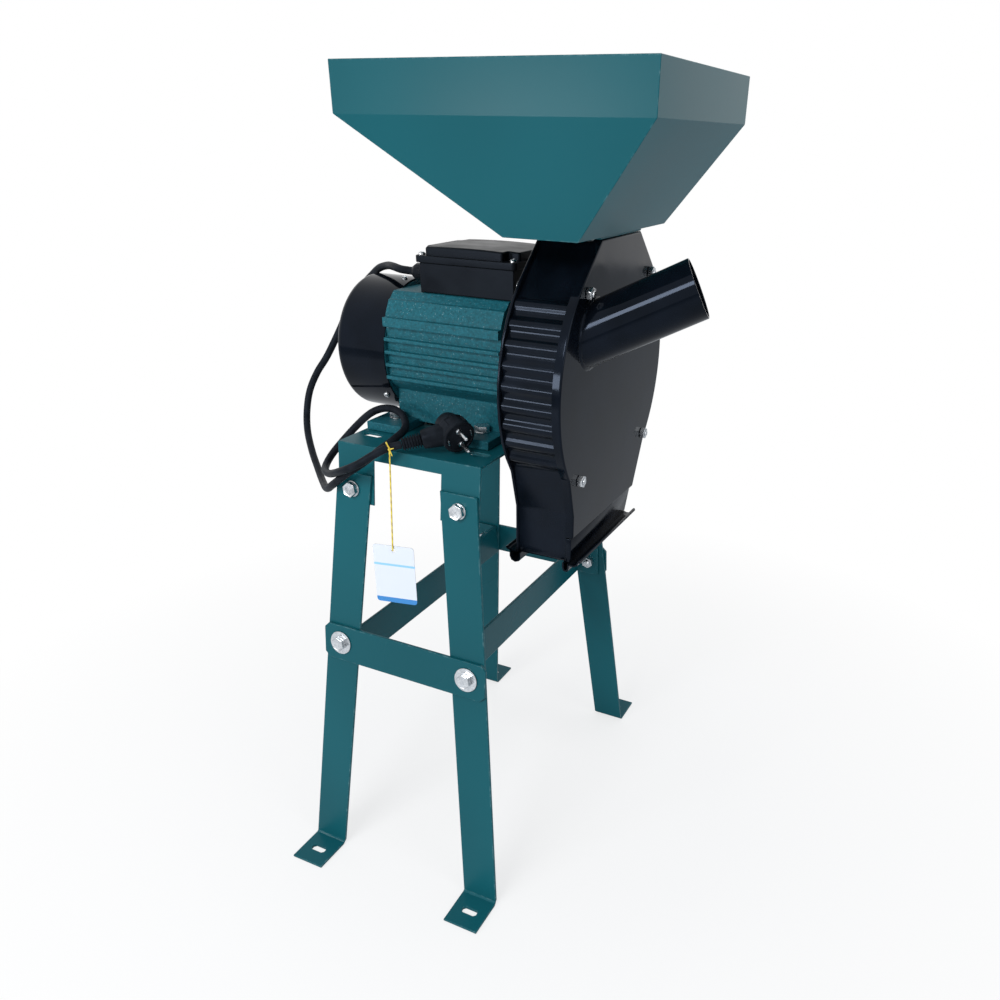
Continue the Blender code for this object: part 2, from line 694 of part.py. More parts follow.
def make_motor_body(material, parent):
    side = body_side()
    low = side[-1][1]
    web = BODY_HALF - BODY_WEB
    arch = arc(BODY_BORE + SHIELD_WALL, 305, 235, 8)
    inner = [(web, low)] + [point for point in arch if abs(point[0]) < web]
    outline = side + inner + [(-inner[0][0], low)] + [(-y, h) for y, h in side[::-1]]
    body = add_object("motor_body", prism([(-y, h) for y, h in outline], BODY_BACK, BODY_FRONT),
                      material, parent, (0, 0, AXIS_Z))
    pads = bmesh.new()
    for side_x in (-1, 1):
        for side_y in (-1, 1):
            x, y = motor_bolt_place(side_x, side_y)
            edges = sorted((y + side_y * FOOT_PAD_EDGE, y - side_y * FOOT_PAD_INNER))
            bottom = -SHAFT_HEIGHT + SEAT
            add_box(pads, (x - FOOT_PAD_LENGTH / 2, edges[0], bottom),
                    (x + FOOT_PAD_LENGTH / 2, edges[1], bottom + FOOT_PAD_SHEET))
    combine(body, pads, "UNION")
    cuts = bmesh.new()
    add_rod(cuts, (BODY_BACK - SHIELD_RIM, 0, 0), (BODY_FRONT + SHIELD_RIM, 0, 0), BODY_BORE, BORE_SIDES)
    for side_x in (-1, 1):
        for side_y in (-1, 1):
            x, y = motor_bolt_place(side_x, side_y)
            add_rod(cuts, (x, y, -SHAFT_HEIGHT - FOOT_PAD_SHEET), (x, y, -SHAFT_HEIGHT + 2 * FOOT_PAD_SHEET),
                    BOLT_HOLE_R, HOLE_SIDES)
    combine(body, cuts, "DIFFERENCE")
    recesses = bmesh.new()
    seat_low = -SHAFT_HEIGHT + SEAT + FOOT_PAD_SHEET
    for side_x in (-1, 1):
        for side_y in (-1, 1):
            x, y = motor_bolt_place(side_x, side_y)
            add_rod(recesses, (x, y, seat_low), (x, y, seat_low + RECESS_HEIGHT),
                    WASHER_SMALL_R + RECESS_GAP, BOLT_SIDES)
    combine(body, recesses, "DIFFERENCE")


def bearing_shape(start):
    inner = SHAFT_BEARING_R + SEAT
    groove = BEARING_WIDTH / 10
    middle = (inner + BEARING_R) / 2
    end = start + BEARING_WIDTH
    profile = [(start, inner), (start + groove, middle), (start, BEARING_R),
               (end, BEARING_R), (end - groove, middle), (end, inner)]
    return turned(profile, SHAFT_SIDES, closed=True)


def make_motor(paint, black, steel, copper, parent):
    axis = (0, 0, AXIS_Z)
    pocket = BEARING_R + SEAT
    make_motor_body(paint, parent)
    stator_r = BODY_BORE - SEAT
    coil_back = STATOR_BACK - WINDING_REACH
    coil_front = STATOR_FRONT + WINDING_REACH
    stator = [(STATOR_BACK, STATOR_BORE), (coil_back, WINDING_BORE), (coil_back, WINDING_R),
              (STATOR_BACK, stator_r), (STATOR_FRONT, stator_r), (coil_front, WINDING_R),
              (coil_front, WINDING_BORE), (STATOR_FRONT, STATOR_BORE)]
    add_object("stator", turned(stator, BORE_SIDES, closed=True), copper, parent, axis, 30)
    back = BODY_BACK - SEAT
    rear_wall = back - BEARING_WIDTH - 2 * SEAT
    rear_r = FAN_COVER_R - FAN_COVER_SHEET - SEAT
    rear_face = rear_wall - SHIELD_WALL
    rear = [(back, pocket), (back, rear_r), (back - SHIELD_RIM, rear_r),
            (back - SHIELD_RIM, BEARING_R + SHIELD_RIM), (rear_face, BEARING_R + SHIELD_WALL),
            (rear_face, SHAFT_FAN_R + SHAFT_GAP), (rear_wall, SHAFT_FAN_R + SHAFT_GAP), (rear_wall, pocket)]
    add_object("end_shield_rear", turned(rear, COVER_SIDES, closed=True), paint, parent, axis, 30)
    add_object("bearing_rear", bearing_shape(rear_wall + SEAT), steel, parent, axis, 30)
    front = BODY_FRONT + SEAT
    nose = DRUM_BACK - SEAT
    seat_end = front + SHIELD_RIM + BEARING_WIDTH
    shield = [(front, pocket), (front, FRONT_SHIELD_R), (front + SHIELD_RIM, FRONT_SHIELD_R),
              (front + 2 * SHIELD_RIM, FRONT_SHIELD_NECK), (nose, FRONT_SHIELD_NECK),
              (nose, SHAFT_BEARING_R + SHAFT_GAP), (seat_end, SHAFT_BEARING_R + SHAFT_GAP),
              (seat_end, pocket)]
    add_object("end_shield_front", turned(shield, BORE_SIDES, closed=True), black, parent, axis, 30)
    add_object("bearing_front", bearing_shape(seat_end - SEAT - BEARING_WIDTH), steel, parent, axis, 30)
    make_fan_cover(black, parent, axis)
    return rear_wall, seat_end


def make_fan_cover(material, parent, axis):
    start = BODY_BACK - SEAT
    back = FAN_COVER_BACK
    turn = FAN_COVER_ROUND
    sheet = FAN_COVER_SHEET
    steps = 3
    profile = [(back + sheet, FAN_COVER_R - turn)]
    for i in range(1, steps + 1):
        angle = pi / 2 * i / steps
        inner = turn - sheet
        profile.append((back + turn - inner * cos(angle), FAN_COVER_R - turn + inner * sin(angle)))
    profile += [(start, FAN_COVER_R - sheet), (start, FAN_COVER_R)]
    for i in range(steps, -1, -1):
        angle = pi / 2 * i / steps
        profile.append((back + turn - turn * cos(angle), FAN_COVER_R - turn + turn * sin(angle)))
    cover = add_object("fan_cover", turned(profile, COVER_SIDES), material, parent, axis, 35)
    vents = bmesh.new()
    for i in range(VENT_COUNT):
        vent = box((back - sheet, VENT_INNER, -VENT_WIDTH / 2),
                   (back + 2 * sheet, VENT_OUTER, VENT_WIDTH / 2))
        bmesh.ops.rotate(vent, verts=vent.verts, matrix=Matrix.Rotation(2 * pi * i / VENT_COUNT, 3, "X"))
        piece = bpy.data.meshes.new("vent")
        vent.to_mesh(piece)
        vents.from_mesh(piece)
        vent.free()
        bpy.data.meshes.remove(piece)
    combine(cover, vents, "DIFFERENCE")


def make_terminal_box(black, metal, parent):
    floor = AXIS_Z + BODY_TOP + SEAT
    top = floor + BOX_HEIGHT
    wall = BOX_WALL
    outer = [(BOX_BACK, -BOX_HALF), (BOX_FRONT, -BOX_HALF), (BOX_FRONT, BOX_HALF), (BOX_BACK, BOX_HALF)]
    inner = [(BOX_BACK + wall, -BOX_HALF + wall), (BOX_FRONT - wall, -BOX_HALF + wall),
             (BOX_FRONT - wall, BOX_HALF - wall), (BOX_BACK + wall, BOX_HALF - wall)]
    rings = [[Vector((x, y, z)) for x, y in loop] for loop, z in
             ((outer, floor), (outer, top), (inner, top), (inner, floor + wall))]
    add_object("terminal_box", loft(rings), black, parent)
    lid_half = BOX_HALF + LID_LIP
    low = top + SEAT
    arch = 8
    outline = [(-lid_half, low), (lid_half, low), (lid_half, low + LID_FLANGE)]
    for i in range(arch + 1):
        y = (BOX_HALF - 2 * wall) * cos(pi * i / arch)
        outline.append((y, low + LID_FLANGE + LID_CROWN * sin(pi * i / arch)))
    outline.append((-lid_half, low + LID_FLANGE))
    add_object("terminal_box_lid", prism(outline, BOX_BACK - LID_LIP, BOX_FRONT + LID_LIP), black, parent)
    middle = (BOX_BACK + BOX_FRONT) / 2
    rest = floor + wall + SEAT + CAPACITOR_R
    capacitor = bmesh.new()
    add_rod(capacitor, (middle - CAPACITOR_LENGTH / 2, 0, rest), (middle + CAPACITOR_LENGTH / 2, 0, rest),
            CAPACITOR_R, BOLT_SIDES)
    add_object("capacitor", capacitor, metal, parent, smooth=30)
    start = BOX_BACK - SEAT
    nut_end = start - GLAND_LENGTH * 0.3
    gland = [hexagon(start, GLAND_R * 2), hexagon(nut_end, GLAND_R * 2),
             circle(nut_end, GLAND_R * 0.85, BOLT_SIDES),
             circle(start - GLAND_LENGTH * 0.75, GLAND_R * 0.8, BOLT_SIDES),
             circle(start - GLAND_LENGTH, CORD_R * 1.4, BOLT_SIDES)]
    add_object("cable_gland", loft(gland), metal, parent, (0, GLAND_Y, floor + BOX_HEIGHT * 0.58), 30)


# The mill housing: outlines seen along the shaft, from the near shoulder round to the far one
def housing_path(bottom):
    """The housing's edge from the near chute foot, over the top, to the far chute foot."""
    near_start = NEAR_ANGLE
    near_y = DRUM_R * cos(radians(near_start))
    near_h = DRUM_R * sin(radians(near_start))
    far_y = DRUM_R * cos(radians(FAR_ANGLE))
    far_h = DRUM_R * sin(radians(FAR_ANGLE))
    slope = (CHUTE_FAR - far_y) / (-CHUTE_DEPTH - far_h)
    path = [(CHUTE_NEAR, -bottom), (CHUTE_NEAR, CHUTE_KNEE)]
    path.append((CHUTE_NEAR * 0.45 + near_y * 0.55, CHUTE_KNEE * 0.45 + near_h * 0.55))
    path += arc(DRUM_R, near_start, TOP_ANGLE, ROUND_STEPS)
    path += [(-TOP_HALF, DRUM_R), (TOP_HALF, DRUM_R)]
    path += arc(DRUM_R, 180 - TOP_ANGLE, FAR_ANGLE, ROUND_STEPS)
    path.append((far_y + slope * (-bottom - far_h), -bottom))
    return path


def wave_path():
    """The rim wall's outer path: like the housing's edge, but inset and corrugated at both sides."""
    low = DRUM_R - RIM_INSET - WAVE_DEPTH
    high = DRUM_R - RIM_INSET
    per_wave = 4
    steps = WAVE_COUNT * per_wave
    shape = (low, low, high, high)

    def wave(start, end):
        points = []
        for i in range(steps + 1):
            angle = radians(start + (end - start) * i / steps)
            radius = shape[i % per_wave]
            points.append((radius * cos(angle), radius * sin(angle)))
        return points

    plain = inset_path(housing_path(CHUTE_DEPTH), -RIM_INSET)
    near_top = next(i for i, point in enumerate(plain) if point[0] < 0 and point[1] > DRUM_R - 2 * RIM_INSET)
    chute = plain[:3]
    near = wave(WAVE_END, WAVE_START)
    top = [plain[near_top], plain[near_top + 1]]
    far = wave(180 - WAVE_START, 180 - WAVE_END)
    return chute + near + top + far + plain[-2:]


def closed_inset(path, distance):
    """Insets a closed loop by a distance, with mitred corners."""
    wrapped = [path[-1]] + list(path) + [path[0]]
    return inset_path(wrapped, -distance)[1:-1]


def add_drum_bolt_holes(cuts, x, sheet):
    for angle in DRUM_BOLT_ANGLES:
        y = DRUM_BOLT_CIRCLE * cos(radians(angle))
        h = DRUM_BOLT_CIRCLE * sin(radians(angle))
        add_rod(cuts, (x - sheet, y, h), (x + 2 * sheet, y, h), DRUM_HOLE_R, HOLE_SIDES)


def rail_shape(x, side):
    """A hooked rail along Y for the bag frame; side gives the direction the hook opens to."""
    top = -CHUTE_DEPTH + RAIL_LIP / 2
    low = -CHUTE_DEPTH - RAIL_DROP
    lip = low + RAIL_LIP
    sheet = RAIL_SHEET
    bend = RAIL_BEND
    out = RAIL_WIDTH
    hook = [(0, top), (0, low + bend), (bend, low), (out - bend, low), (out, low + bend), (out, lip),
            (out - sheet, lip), (out - sheet, low + bend + sheet / 2), (out - bend - sheet / 2, low + sheet),
            (bend + sheet / 2, low + sheet), (sheet, low + bend + sheet / 2), (sheet, top)]
    ends = (CHUTE_NEAR - RAIL_OVERHANG, CHUTE_FAR + RAIL_OVERHANG)
    return loft([[Vector((x + side * (a - sheet / 2), y, h)) for a, h in hook] for y in ends])


def make_rear_plate(material, parent, axis):
    path = housing_path(CHUTE_DEPTH)
    sheet = prism(path, DRUM_BACK, DRUM_BACK + PLATE_SHEET)
    plate = add_object("mill_rear_plate", sheet, material, parent, axis)
    combine(plate, rail_shape(DRUM_BACK + PLATE_SHEET / 2, -1), "UNION")
    cuts = bmesh.new()
    rise = AXIS_Z - DRUM_Z
    add_rod(cuts, (DRUM_BACK - PLATE_SHEET, 0, rise), (DRUM_BACK + 2 * PLATE_SHEET, 0, rise),
            SHAFT_OPENING, BORE_SIDES)
    add_drum_bolt_holes(cuts, DRUM_BACK, PLATE_SHEET)
    combine(plate, cuts, "DIFFERENCE")


def make_rim(material, parent, axis):
    outer = wave_path()
    inner = inset_path(outer, -RIM_SHEET)
    wall = prism(outer + inner[::-1], RIM_WALL_BACK, RIM_WALL_FRONT)
    rim = add_object("mill_rim", wall, material, parent, axis)
    strip_front = DRUM_FRONT - SKIRT_DEPTH - SEAT
    cuts = bmesh.new()
    add_box(cuts, (THROAT_X - THROAT_HALF_X, -THROAT_HALF_Y, DRUM_R - 5 * RIM_SHEET),
            (THROAT_X + THROAT_HALF_X, THROAT_HALF_Y, DRUM_R + RIM_SHEET))
    add_box(cuts, (strip_front, CHUTE_NEAR * 2, -CHUTE_DEPTH - RIM_SHEET),
            (DRUM_FRONT, -CHUTE_NEAR * 2, -COVER_DEPTH + SKIRT_SHEET + SEAT))
    combine(rim, cuts, "DIFFERENCE")
    middle = inset_path(housing_path(CHUTE_DEPTH), -RIM_INSET - RIM_SHEET / 2)
    near, far_high, far_low = middle[0], middle[-2], middle[-1]
    foot = -CHUTE_DEPTH
    strip_top = foot + STRIP_HEIGHT
    far_top = far_low[0] + (far_high[0] - far_low[0]) * STRIP_HEIGHT / (far_high[1] - far_low[1])
    strip = prism([(near[0], foot), (far_low[0], foot), (far_top, strip_top), (near[0], strip_top)],
                  strip_front - STRIP_SHEET, strip_front)
    combine(rim, strip, "UNION")
    combine(rim, rail_shape(strip_front - STRIP_SHEET / 2, 1), "UNION")


def tube_rings(radius, start_x, reach):
    """A slanted pipe: the first ring lies in a plane across X, the last one square to the pipe."""
    root = Vector((DRUM_FRONT, TUBE_ROOT_Y, TUBE_ROOT_H))
    turn = TUBE_DIRECTION.to_track_quat("X", "Z").to_matrix()
    last = [root + TUBE_DIRECTION * reach + turn @ point for point in circle(0, radius, BORE_SIDES)]
    first = [point - TUBE_DIRECTION * ((point.x - start_x) / TUBE_DIRECTION.x) for point in last]
    return [first, last]


def make_cover(material, parent, axis):
    path = housing_path(COVER_DEPTH)
    inner = closed_inset(path, SKIRT_SHEET)
    skirt = DRUM_FRONT - SKIRT_DEPTH
    places = ((DRUM_FRONT, path), (skirt, path), (skirt, inner), (DRUM_FRONT - PLATE_SHEET, inner))
    rings = [[Vector((x, y, h)) for y, h in loop] for x, loop in places]
    cover = add_object("mill_cover", loft(rings), material, parent, axis)
    combine(cover, loft(tube_rings(TUBE_R, DRUM_FRONT - PLATE_SHEET / 2, TUBE_LENGTH)), "UNION")
    cuts = loft(tube_rings(TUBE_R - TUBE_WALL, DRUM_FRONT - 2 * PLATE_SHEET, TUBE_LENGTH + TUBE_WALL))
    add_drum_bolt_holes(cuts, DRUM_FRONT - PLATE_SHEET, PLATE_SHEET)
    combine(cover, cuts, "DIFFERENCE")


def make_sieve(material, parent, axis):
    """A bent screen: a grid of cells over the lower arc, each with a hole, then given thickness."""
    bm = bmesh.new()
    grid = []
    width = RIM_WALL_FRONT - RIM_WALL_BACK
    places = [RIM_WALL_BACK + width * j / SIEVE_ROWS for j in range(SIEVE_ROWS + 1)]
    for y, h in arc(SIEVE_R, SIEVE_START, SIEVE_END, SIEVE_COLUMNS):
        grid.append([bm.verts.new((x, y, h)) for x in places])
    for first, second in zip(grid, grid[1:]):
        for j in range(SIEVE_ROWS):
            bm.faces.new((first[j], first[j + 1], second[j + 1], second[j]))
    cells = list(bm.faces)
    bm.normal_update()
    bmesh.ops.inset_individual(bm, faces=cells, thickness=SIEVE_BRIDGE, use_even_offset=True)
    bmesh.ops.delete(bm, geom=cells, context="FACES")
    outside = list(bm.faces)
    edges = [edge for edge in bm.edges if len(edge.link_faces) == 1]
    shrink = 1 - SIEVE_SHEET / SIEVE_R
    twin = {}
    for vert in list(bm.verts):
        twin[vert] = bm.verts.new((vert.co.x, vert.co.y * shrink, vert.co.z * shrink))
    for face in outside:
        bm.faces.new([twin[vert] for vert in reversed(face.verts)])
    for edge in edges:
        a, b = edge.verts
        bm.faces.new((a, b, twin[b], twin[a]))
    add_object("sieve_screen", bm, material, parent, axis)


def make_drum_bolts(material, parent, axis):
    names = ("far_top", "near_top", "near_low", "far_low")
    for name, angle in zip(names, DRUM_BOLT_ANGLES):
        grip = DRUM_FRONT - DRUM_BACK + 2 * SEAT
        bolt = bolt_shape(DRUM_BOLT_R, DRUM_BOLT_HEX, DRUM_BOLT_HEAD, 0, 0, grip, DRUM_BOLT_NUT, BOLT_TIP)
        turn = radians(angle)
        place = Vector((DRUM_BACK - SEAT, DRUM_BOLT_CIRCLE * cos(turn), DRUM_BOLT_CIRCLE * sin(turn)))
        bmesh.ops.translate(bolt, verts=bolt.verts, vec=place)
        add_object("cover_bolt_" + name, bolt, material, parent, axis, 30)


# Everything that turns with the shaft hangs on the rotor axis
def make_shaft(material, parent, rear_wall, front_seat):
    bearing_start = front_seat - SEAT - BEARING_WIDTH
    disc_end = FRONT_DISC_X + DISC_SHEET
    shoulder = 2 * MM
    profile = [(SHAFT_BACK, SHAFT_FAN_R), (rear_wall + SEAT, SHAFT_FAN_R),
               (rear_wall + SEAT, SHAFT_BEARING_R),
               (BODY_BACK + shoulder, SHAFT_BEARING_R), (BODY_BACK + shoulder, SHAFT_CORE_R),
               (bearing_start - shoulder, SHAFT_CORE_R), (bearing_start - shoulder, SHAFT_BEARING_R),
               (DRUM_BACK, SHAFT_BEARING_R), (DRUM_BACK, SHAFT_MILL_R), (disc_end, SHAFT_MILL_R),
               (disc_end, SHAFT_THREAD_R), (disc_end + ROTOR_NUT + shoulder, SHAFT_THREAD_R)]
    add_object("motor_shaft", turned(profile, SHAFT_SIDES), material, parent, smooth=30)


def make_fan(material, parent):
    star = []
    for k in range(FAN_BLADES):
        middle = 2 * pi * k / FAN_BLADES
        root = BLADE_SHEET / 2 / FAN_HUB_R
        tip = BLADE_SHEET / 2 / FAN_R
        star += [(FAN_HUB_R, middle - root), (FAN_R, middle - tip), (FAN_R, middle + tip)]
        star += [(FAN_HUB_R, middle + root), (FAN_HUB_R, middle + pi / FAN_BLADES)]
    start = SHAFT_BACK + SHAFT_FAN_R / 3
    bore = SHAFT_FAN_R + SEAT
    rings = []
    end = start + FAN_WIDTH
    hole = [(bore, angle) for _, angle in star]
    for x, outline in ((start, star), (end, star), (end, hole), (start, hole)):
        rings.append([Vector((x, r * cos(a), r * sin(a))) for r, a in outline])
    add_object("cooling_fan", loft(rings, closed=True), material, parent)


def pin_place(index):
    angle = 2 * pi * index / HAMMER_COUNT + pi / HAMMER_COUNT
    return angle, Vector((0, PIN_CIRCLE * cos(angle), PIN_CIRCLE * sin(angle)))


def make_discs(material, parent):
    bore = SHAFT_MILL_R + SEAT
    rear_end = REAR_DISC_X + DISC_SHEET
    hub_end = FRONT_DISC_X - SEAT
    hub = [(HUB_BACK, bore), (HUB_BACK, HUB_R), (REAR_DISC_X, HUB_R), (REAR_DISC_X, DISC_R),
           (rear_end, DISC_R), (rear_end, HUB_R), (hub_end, HUB_R), (hub_end, bore)]
    front_end = FRONT_DISC_X + DISC_SHEET
    front = [(FRONT_DISC_X, bore), (FRONT_DISC_X, DISC_R), (front_end, DISC_R), (front_end, bore)]
    for name, profile, x in (("rotor_hub_disc", hub, REAR_DISC_X), ("rotor_front_disc", front, FRONT_DISC_X)):
        disc = add_object(name, turned(profile, DISC_SIDES, closed=True), material, parent, smooth=30)
        cuts = bmesh.new()
        for index in range(HAMMER_COUNT):
            place = pin_place(index)[1]
            add_rod(cuts, place + Vector((x - DISC_SHEET, 0, 0)), place + Vector((x + 2 * DISC_SHEET, 0, 0)),
                    PIN_R + SEAT, PIN_SIDES)
        combine(disc, cuts, "DIFFERENCE")


def make_pin(index, material, parent):
    start = HAMMER_PLANES[index % 2] - HAMMER_RUN
    end = HAMMER_PLANES[index % 2] + HAMMER_SHEET + HAMMER_RUN
    rear = REAR_DISC_X - SEAT
    inner = REAR_DISC_X + DISC_SHEET + SEAT
    front = FRONT_DISC_X - SEAT
    outer = FRONT_DISC_X + DISC_SHEET + SEAT
    profile = [(rear - PIN_HEAD, PIN_HEAD_R), (rear, PIN_HEAD_R), (rear, PIN_R), (inner, PIN_R),
               (inner, PIN_HEAD_R), (start, PIN_HEAD_R), (start, PIN_R), (end, PIN_R), (end, PIN_HEAD_R),
               (front, PIN_HEAD_R), (front, PIN_R), (outer, PIN_R), (outer, PIN_HEAD_R),
               (outer + PIN_HEAD, PIN_HEAD_R)]
    pin = turned(profile, PIN_SIDES)
    add_object("hammer_pin_" + str(index + 1), pin, material, parent, pin_place(index)[1], 30)


def make_hammer(index, material, parent):
    """A flat bar with a round eye; its origin lies on the pin's axis."""
    half = HAMMER_WIDTH / 2
    corner = atan2(HAMMER_REACH, half)
    angles = [corner * i / 3 for i in range(4)] + [pi / 2] + [pi - corner * i / 3 for i in range(3, 0, -1)]
    angles += [pi + pi * i / 8 for i in range(8)]
    outline = []
    for a in angles:
        reach = half
        if a < pi:
            reach = min(half / max(abs(cos(a)), 1e-6), HAMMER_REACH / max(sin(a), 1e-6))
        outline.append((reach * cos(a), reach * sin(a)))
    eye_r = PIN_R + SEAT
    eye = [(eye_r * cos(a), eye_r * sin(a)) for a in angles]
    start = HAMMER_PLANES[index % 2]
    end = start + HAMMER_SHEET
    rings = [[Vector((x, y, h)) for y, h in loop] for x, loop in
             ((start, outline), (end, outline), (end, eye), (start, eye))]
    angle, place = pin_place(index)
    hammer = add_object("hammer_" + str(index + 1), loft(rings, closed=True), material, parent, place, 40)
    hammer.rotation_euler = (angle - pi / 2, 0, 0)


def make_rotor(steel, dark, black, parent, rear_wall, front_seat):
    make_shaft(steel, parent, rear_wall, front_seat)
    core_bore = SHAFT_CORE_R + SEAT
    core_r = STATOR_BORE - AIR_GAP
    core = [(STATOR_BACK, core_bore), (STATOR_BACK, core_r), (STATOR_FRONT, core_r),
            (STATOR_FRONT, core_bore)]
    add_object("rotor_core", turned(core, BORE_SIDES, closed=True), dark, parent, smooth=30)
    make_fan(black, parent)
    make_discs(dark, parent)
    for index in range(HAMMER_COUNT):
        make_pin(index, steel, parent)
        make_hammer(index, dark, parent)
    start = FRONT_DISC_X + DISC_SHEET + SEAT
    bore = (SHAFT_THREAD_R + SEAT) / cos(pi / BOLT_SIDES)
    nut = [hexagon(start, ROTOR_NUT_HEX), hexagon(start + ROTOR_NUT, ROTOR_NUT_HEX),
           circle(start + ROTOR_NUT, bore, BOLT_SIDES), circle(start, bore, BOLT_SIDES)]
    add_object("shaft_nut", loft(nut, closed=True), steel, parent)


# The hopper stands on the plates' top edges; the gate slides between its two runners
def rectangle(x_low, x_high, half, z):
    corners = ((x_low, -half), (x_high, -half), (x_high, half), (x_low, half))
    return [Vector((x, y, z)) for x, y in corners]


def make_hopper(material, parent):
    sheet = HOPPER_SHEET
    throat = (THROAT_X - THROAT_HALF_X, THROAT_X + THROAT_HALF_X, THROAT_HALF_Y)
    floor = HOPPER_FLOOR + sheet
    outer_rim = (RIM_BACK, RIM_FRONT, RIM_HALF)
    inner_rim = (RIM_BACK + sheet, RIM_FRONT - sheet, RIM_HALF - sheet)
    inner_foot = (HOPPER_BACK + sheet / 3, HOPPER_FRONT - sheet / 2, HOPPER_HALF - sheet * 0.8)
    rings = [rectangle(*outer_rim, RIM_TOP), rectangle(*outer_rim, RIM_BOTTOM),
             rectangle(HOPPER_BACK, HOPPER_FRONT, HOPPER_HALF, HOPPER_FLOOR),
             rectangle(*throat, HOPPER_FLOOR), rectangle(*throat, floor), rectangle(*inner_foot, floor),
             rectangle(*inner_rim, RIM_BOTTOM + sheet / 2), rectangle(*inner_rim, RIM_TOP)]
    hopper = add_object("hopper", loft(rings, closed=True), material, parent)
    runners = bmesh.new()
    low = DRUM_TOP + SEAT
    high = HOPPER_FLOOR + sheet / 2
    skirt = DRUM_FRONT - SKIRT_DEPTH
    add_box(runners, (DRUM_BACK - RUNNER_INSET, -RUNNER_HALF, low),
            (DRUM_BACK + PLATE_SHEET + RUNNER_INSET, RUNNER_HALF, high))
    add_box(runners, (skirt - SEAT, -RUNNER_HALF, low), (DRUM_FRONT - RUNNER_INSET, RUNNER_HALF, high))
    combine(hopper, runners, "UNION")


def make_gate(material, parent):
    low = DRUM_TOP - RIM_INSET + SEAT
    end = GATE_HALF + GATE_TAIL
    outline = [(-GATE_HALF, low), (end - GATE_SHEET, low), (end - GATE_SHEET, low - GATE_GRIP),
               (end, low - GATE_GRIP), (end, low + GATE_SHEET), (-GATE_HALF, low + GATE_SHEET)]
    back = DRUM_BACK + PLATE_SHEET + 2 * RUNNER_INSET
    front = DRUM_FRONT - SKIRT_DEPTH - 2 * RUNNER_INSET
    add_object("slide_gate", prism(outline, back, front), material, parent)


# Supply cord: from the gland over the fan cover, down beside the table, up over its edge to the plug
CORD_ROUTE = [(-61.2, -30, 786), (-80, -29.2, 786.8), (-98, -19.5, 787.6), (-119, -3, 785.5), (-141, 9, 779.5),
              (-159, 17, 769), (-178, 22, 755), (-197, 22, 736), (-209, 18, 715), (-216, 12, 696),
              (-231, -4, 659), (-246, -12, 635), (-256, -20, 610), (-255, -32, 584), (-244, -48, 561),
              (-219, -72, 543), (-189, -98, 531), (-158, -126, 526), (-126, -156, 533), (-97, -177, 551),
              (-68.6, -182.7, 572.2), (-44.5, -180.7, 589.4), (-29.7, -166.3, 603.3), (-24.7, -143.7, 610.6),
              (-30.9, -112.4, 613.8), (-43.5, -94.6, 620.9), (-58.3, -87.3, 625.8), (-70, -85.3, 626.8),
              (-84.4, -85.9, 624.6), (-99.7, -90, 616.9), (-122.2, -90.2, 598), (-138.6, -102.6, 577.1),
              (-142.5, -123.3, 562.8), (-132.4, -147.7, 556.1), (-105, -172.2, 562), (-66, -195.4, 580),
              (-40.5, -196.5, 593), (-24.5, -185.5, 604), (-12.2, -173.9, 610.9), (0, -164, 614)]
STRING_CORD_INDEX = 38


def route_vectors(points):
    return [Vector(point) * MM for point in points]


def make_plug(material, parent):
    tail = Vector(CORD_ROUTE[-1]) * MM
    along = (PLUG_CENTRE - tail).normalized()
    face = PLUG_PIN_DIRECTION
    side = face.cross(along).normalized()
    turn = Matrix((face, side.cross(face), side)).transposed()
    head = [[PLUG_CENTRE + turn @ point for point in circle(x, r, DISC_SIDES)] for x, r in
            ((-PLUG_THICK / 2, PLUG_R * 0.8), (-PLUG_THICK * 0.3, PLUG_R), (PLUG_THICK / 2, PLUG_R))]
    plug = add_object("plug", loft(head), material, parent, smooth=40)
    start = tail + along * 2 * SEAT
    lengths = (0, PLUG_RELIEF, PLUG_RELIEF, PLUG_RELIEF + PLUG_HANDLE * 0.8, (PLUG_CENTRE - tail).length)
    sizes = (CORD_R * 1.15, PLUG_RELIEF_R, PLUG_RELIEF_R * 1.5, PLUG_RELIEF_R * 1.7, PLUG_RELIEF_R * 1.7)
    swing = along.to_track_quat("X", "Z").to_matrix()
    rings = [[start + along * length + swing @ point for point in circle(0, size, SHAFT_SIDES)]
             for length, size in zip(lengths, sizes)]
    combine(plug, loft(rings), "UNION")
    pins = bmesh.new()
    for sign in (-1, 1):
        root = PLUG_CENTRE + side * sign * PLUG_PIN_SPACING / 2
        add_rod(pins, root, root + face * (PLUG_THICK / 2 + PLUG_PIN_LENGTH), PLUG_PIN_R, PIN_SIDES)
    combine(plug, pins, "UNION")


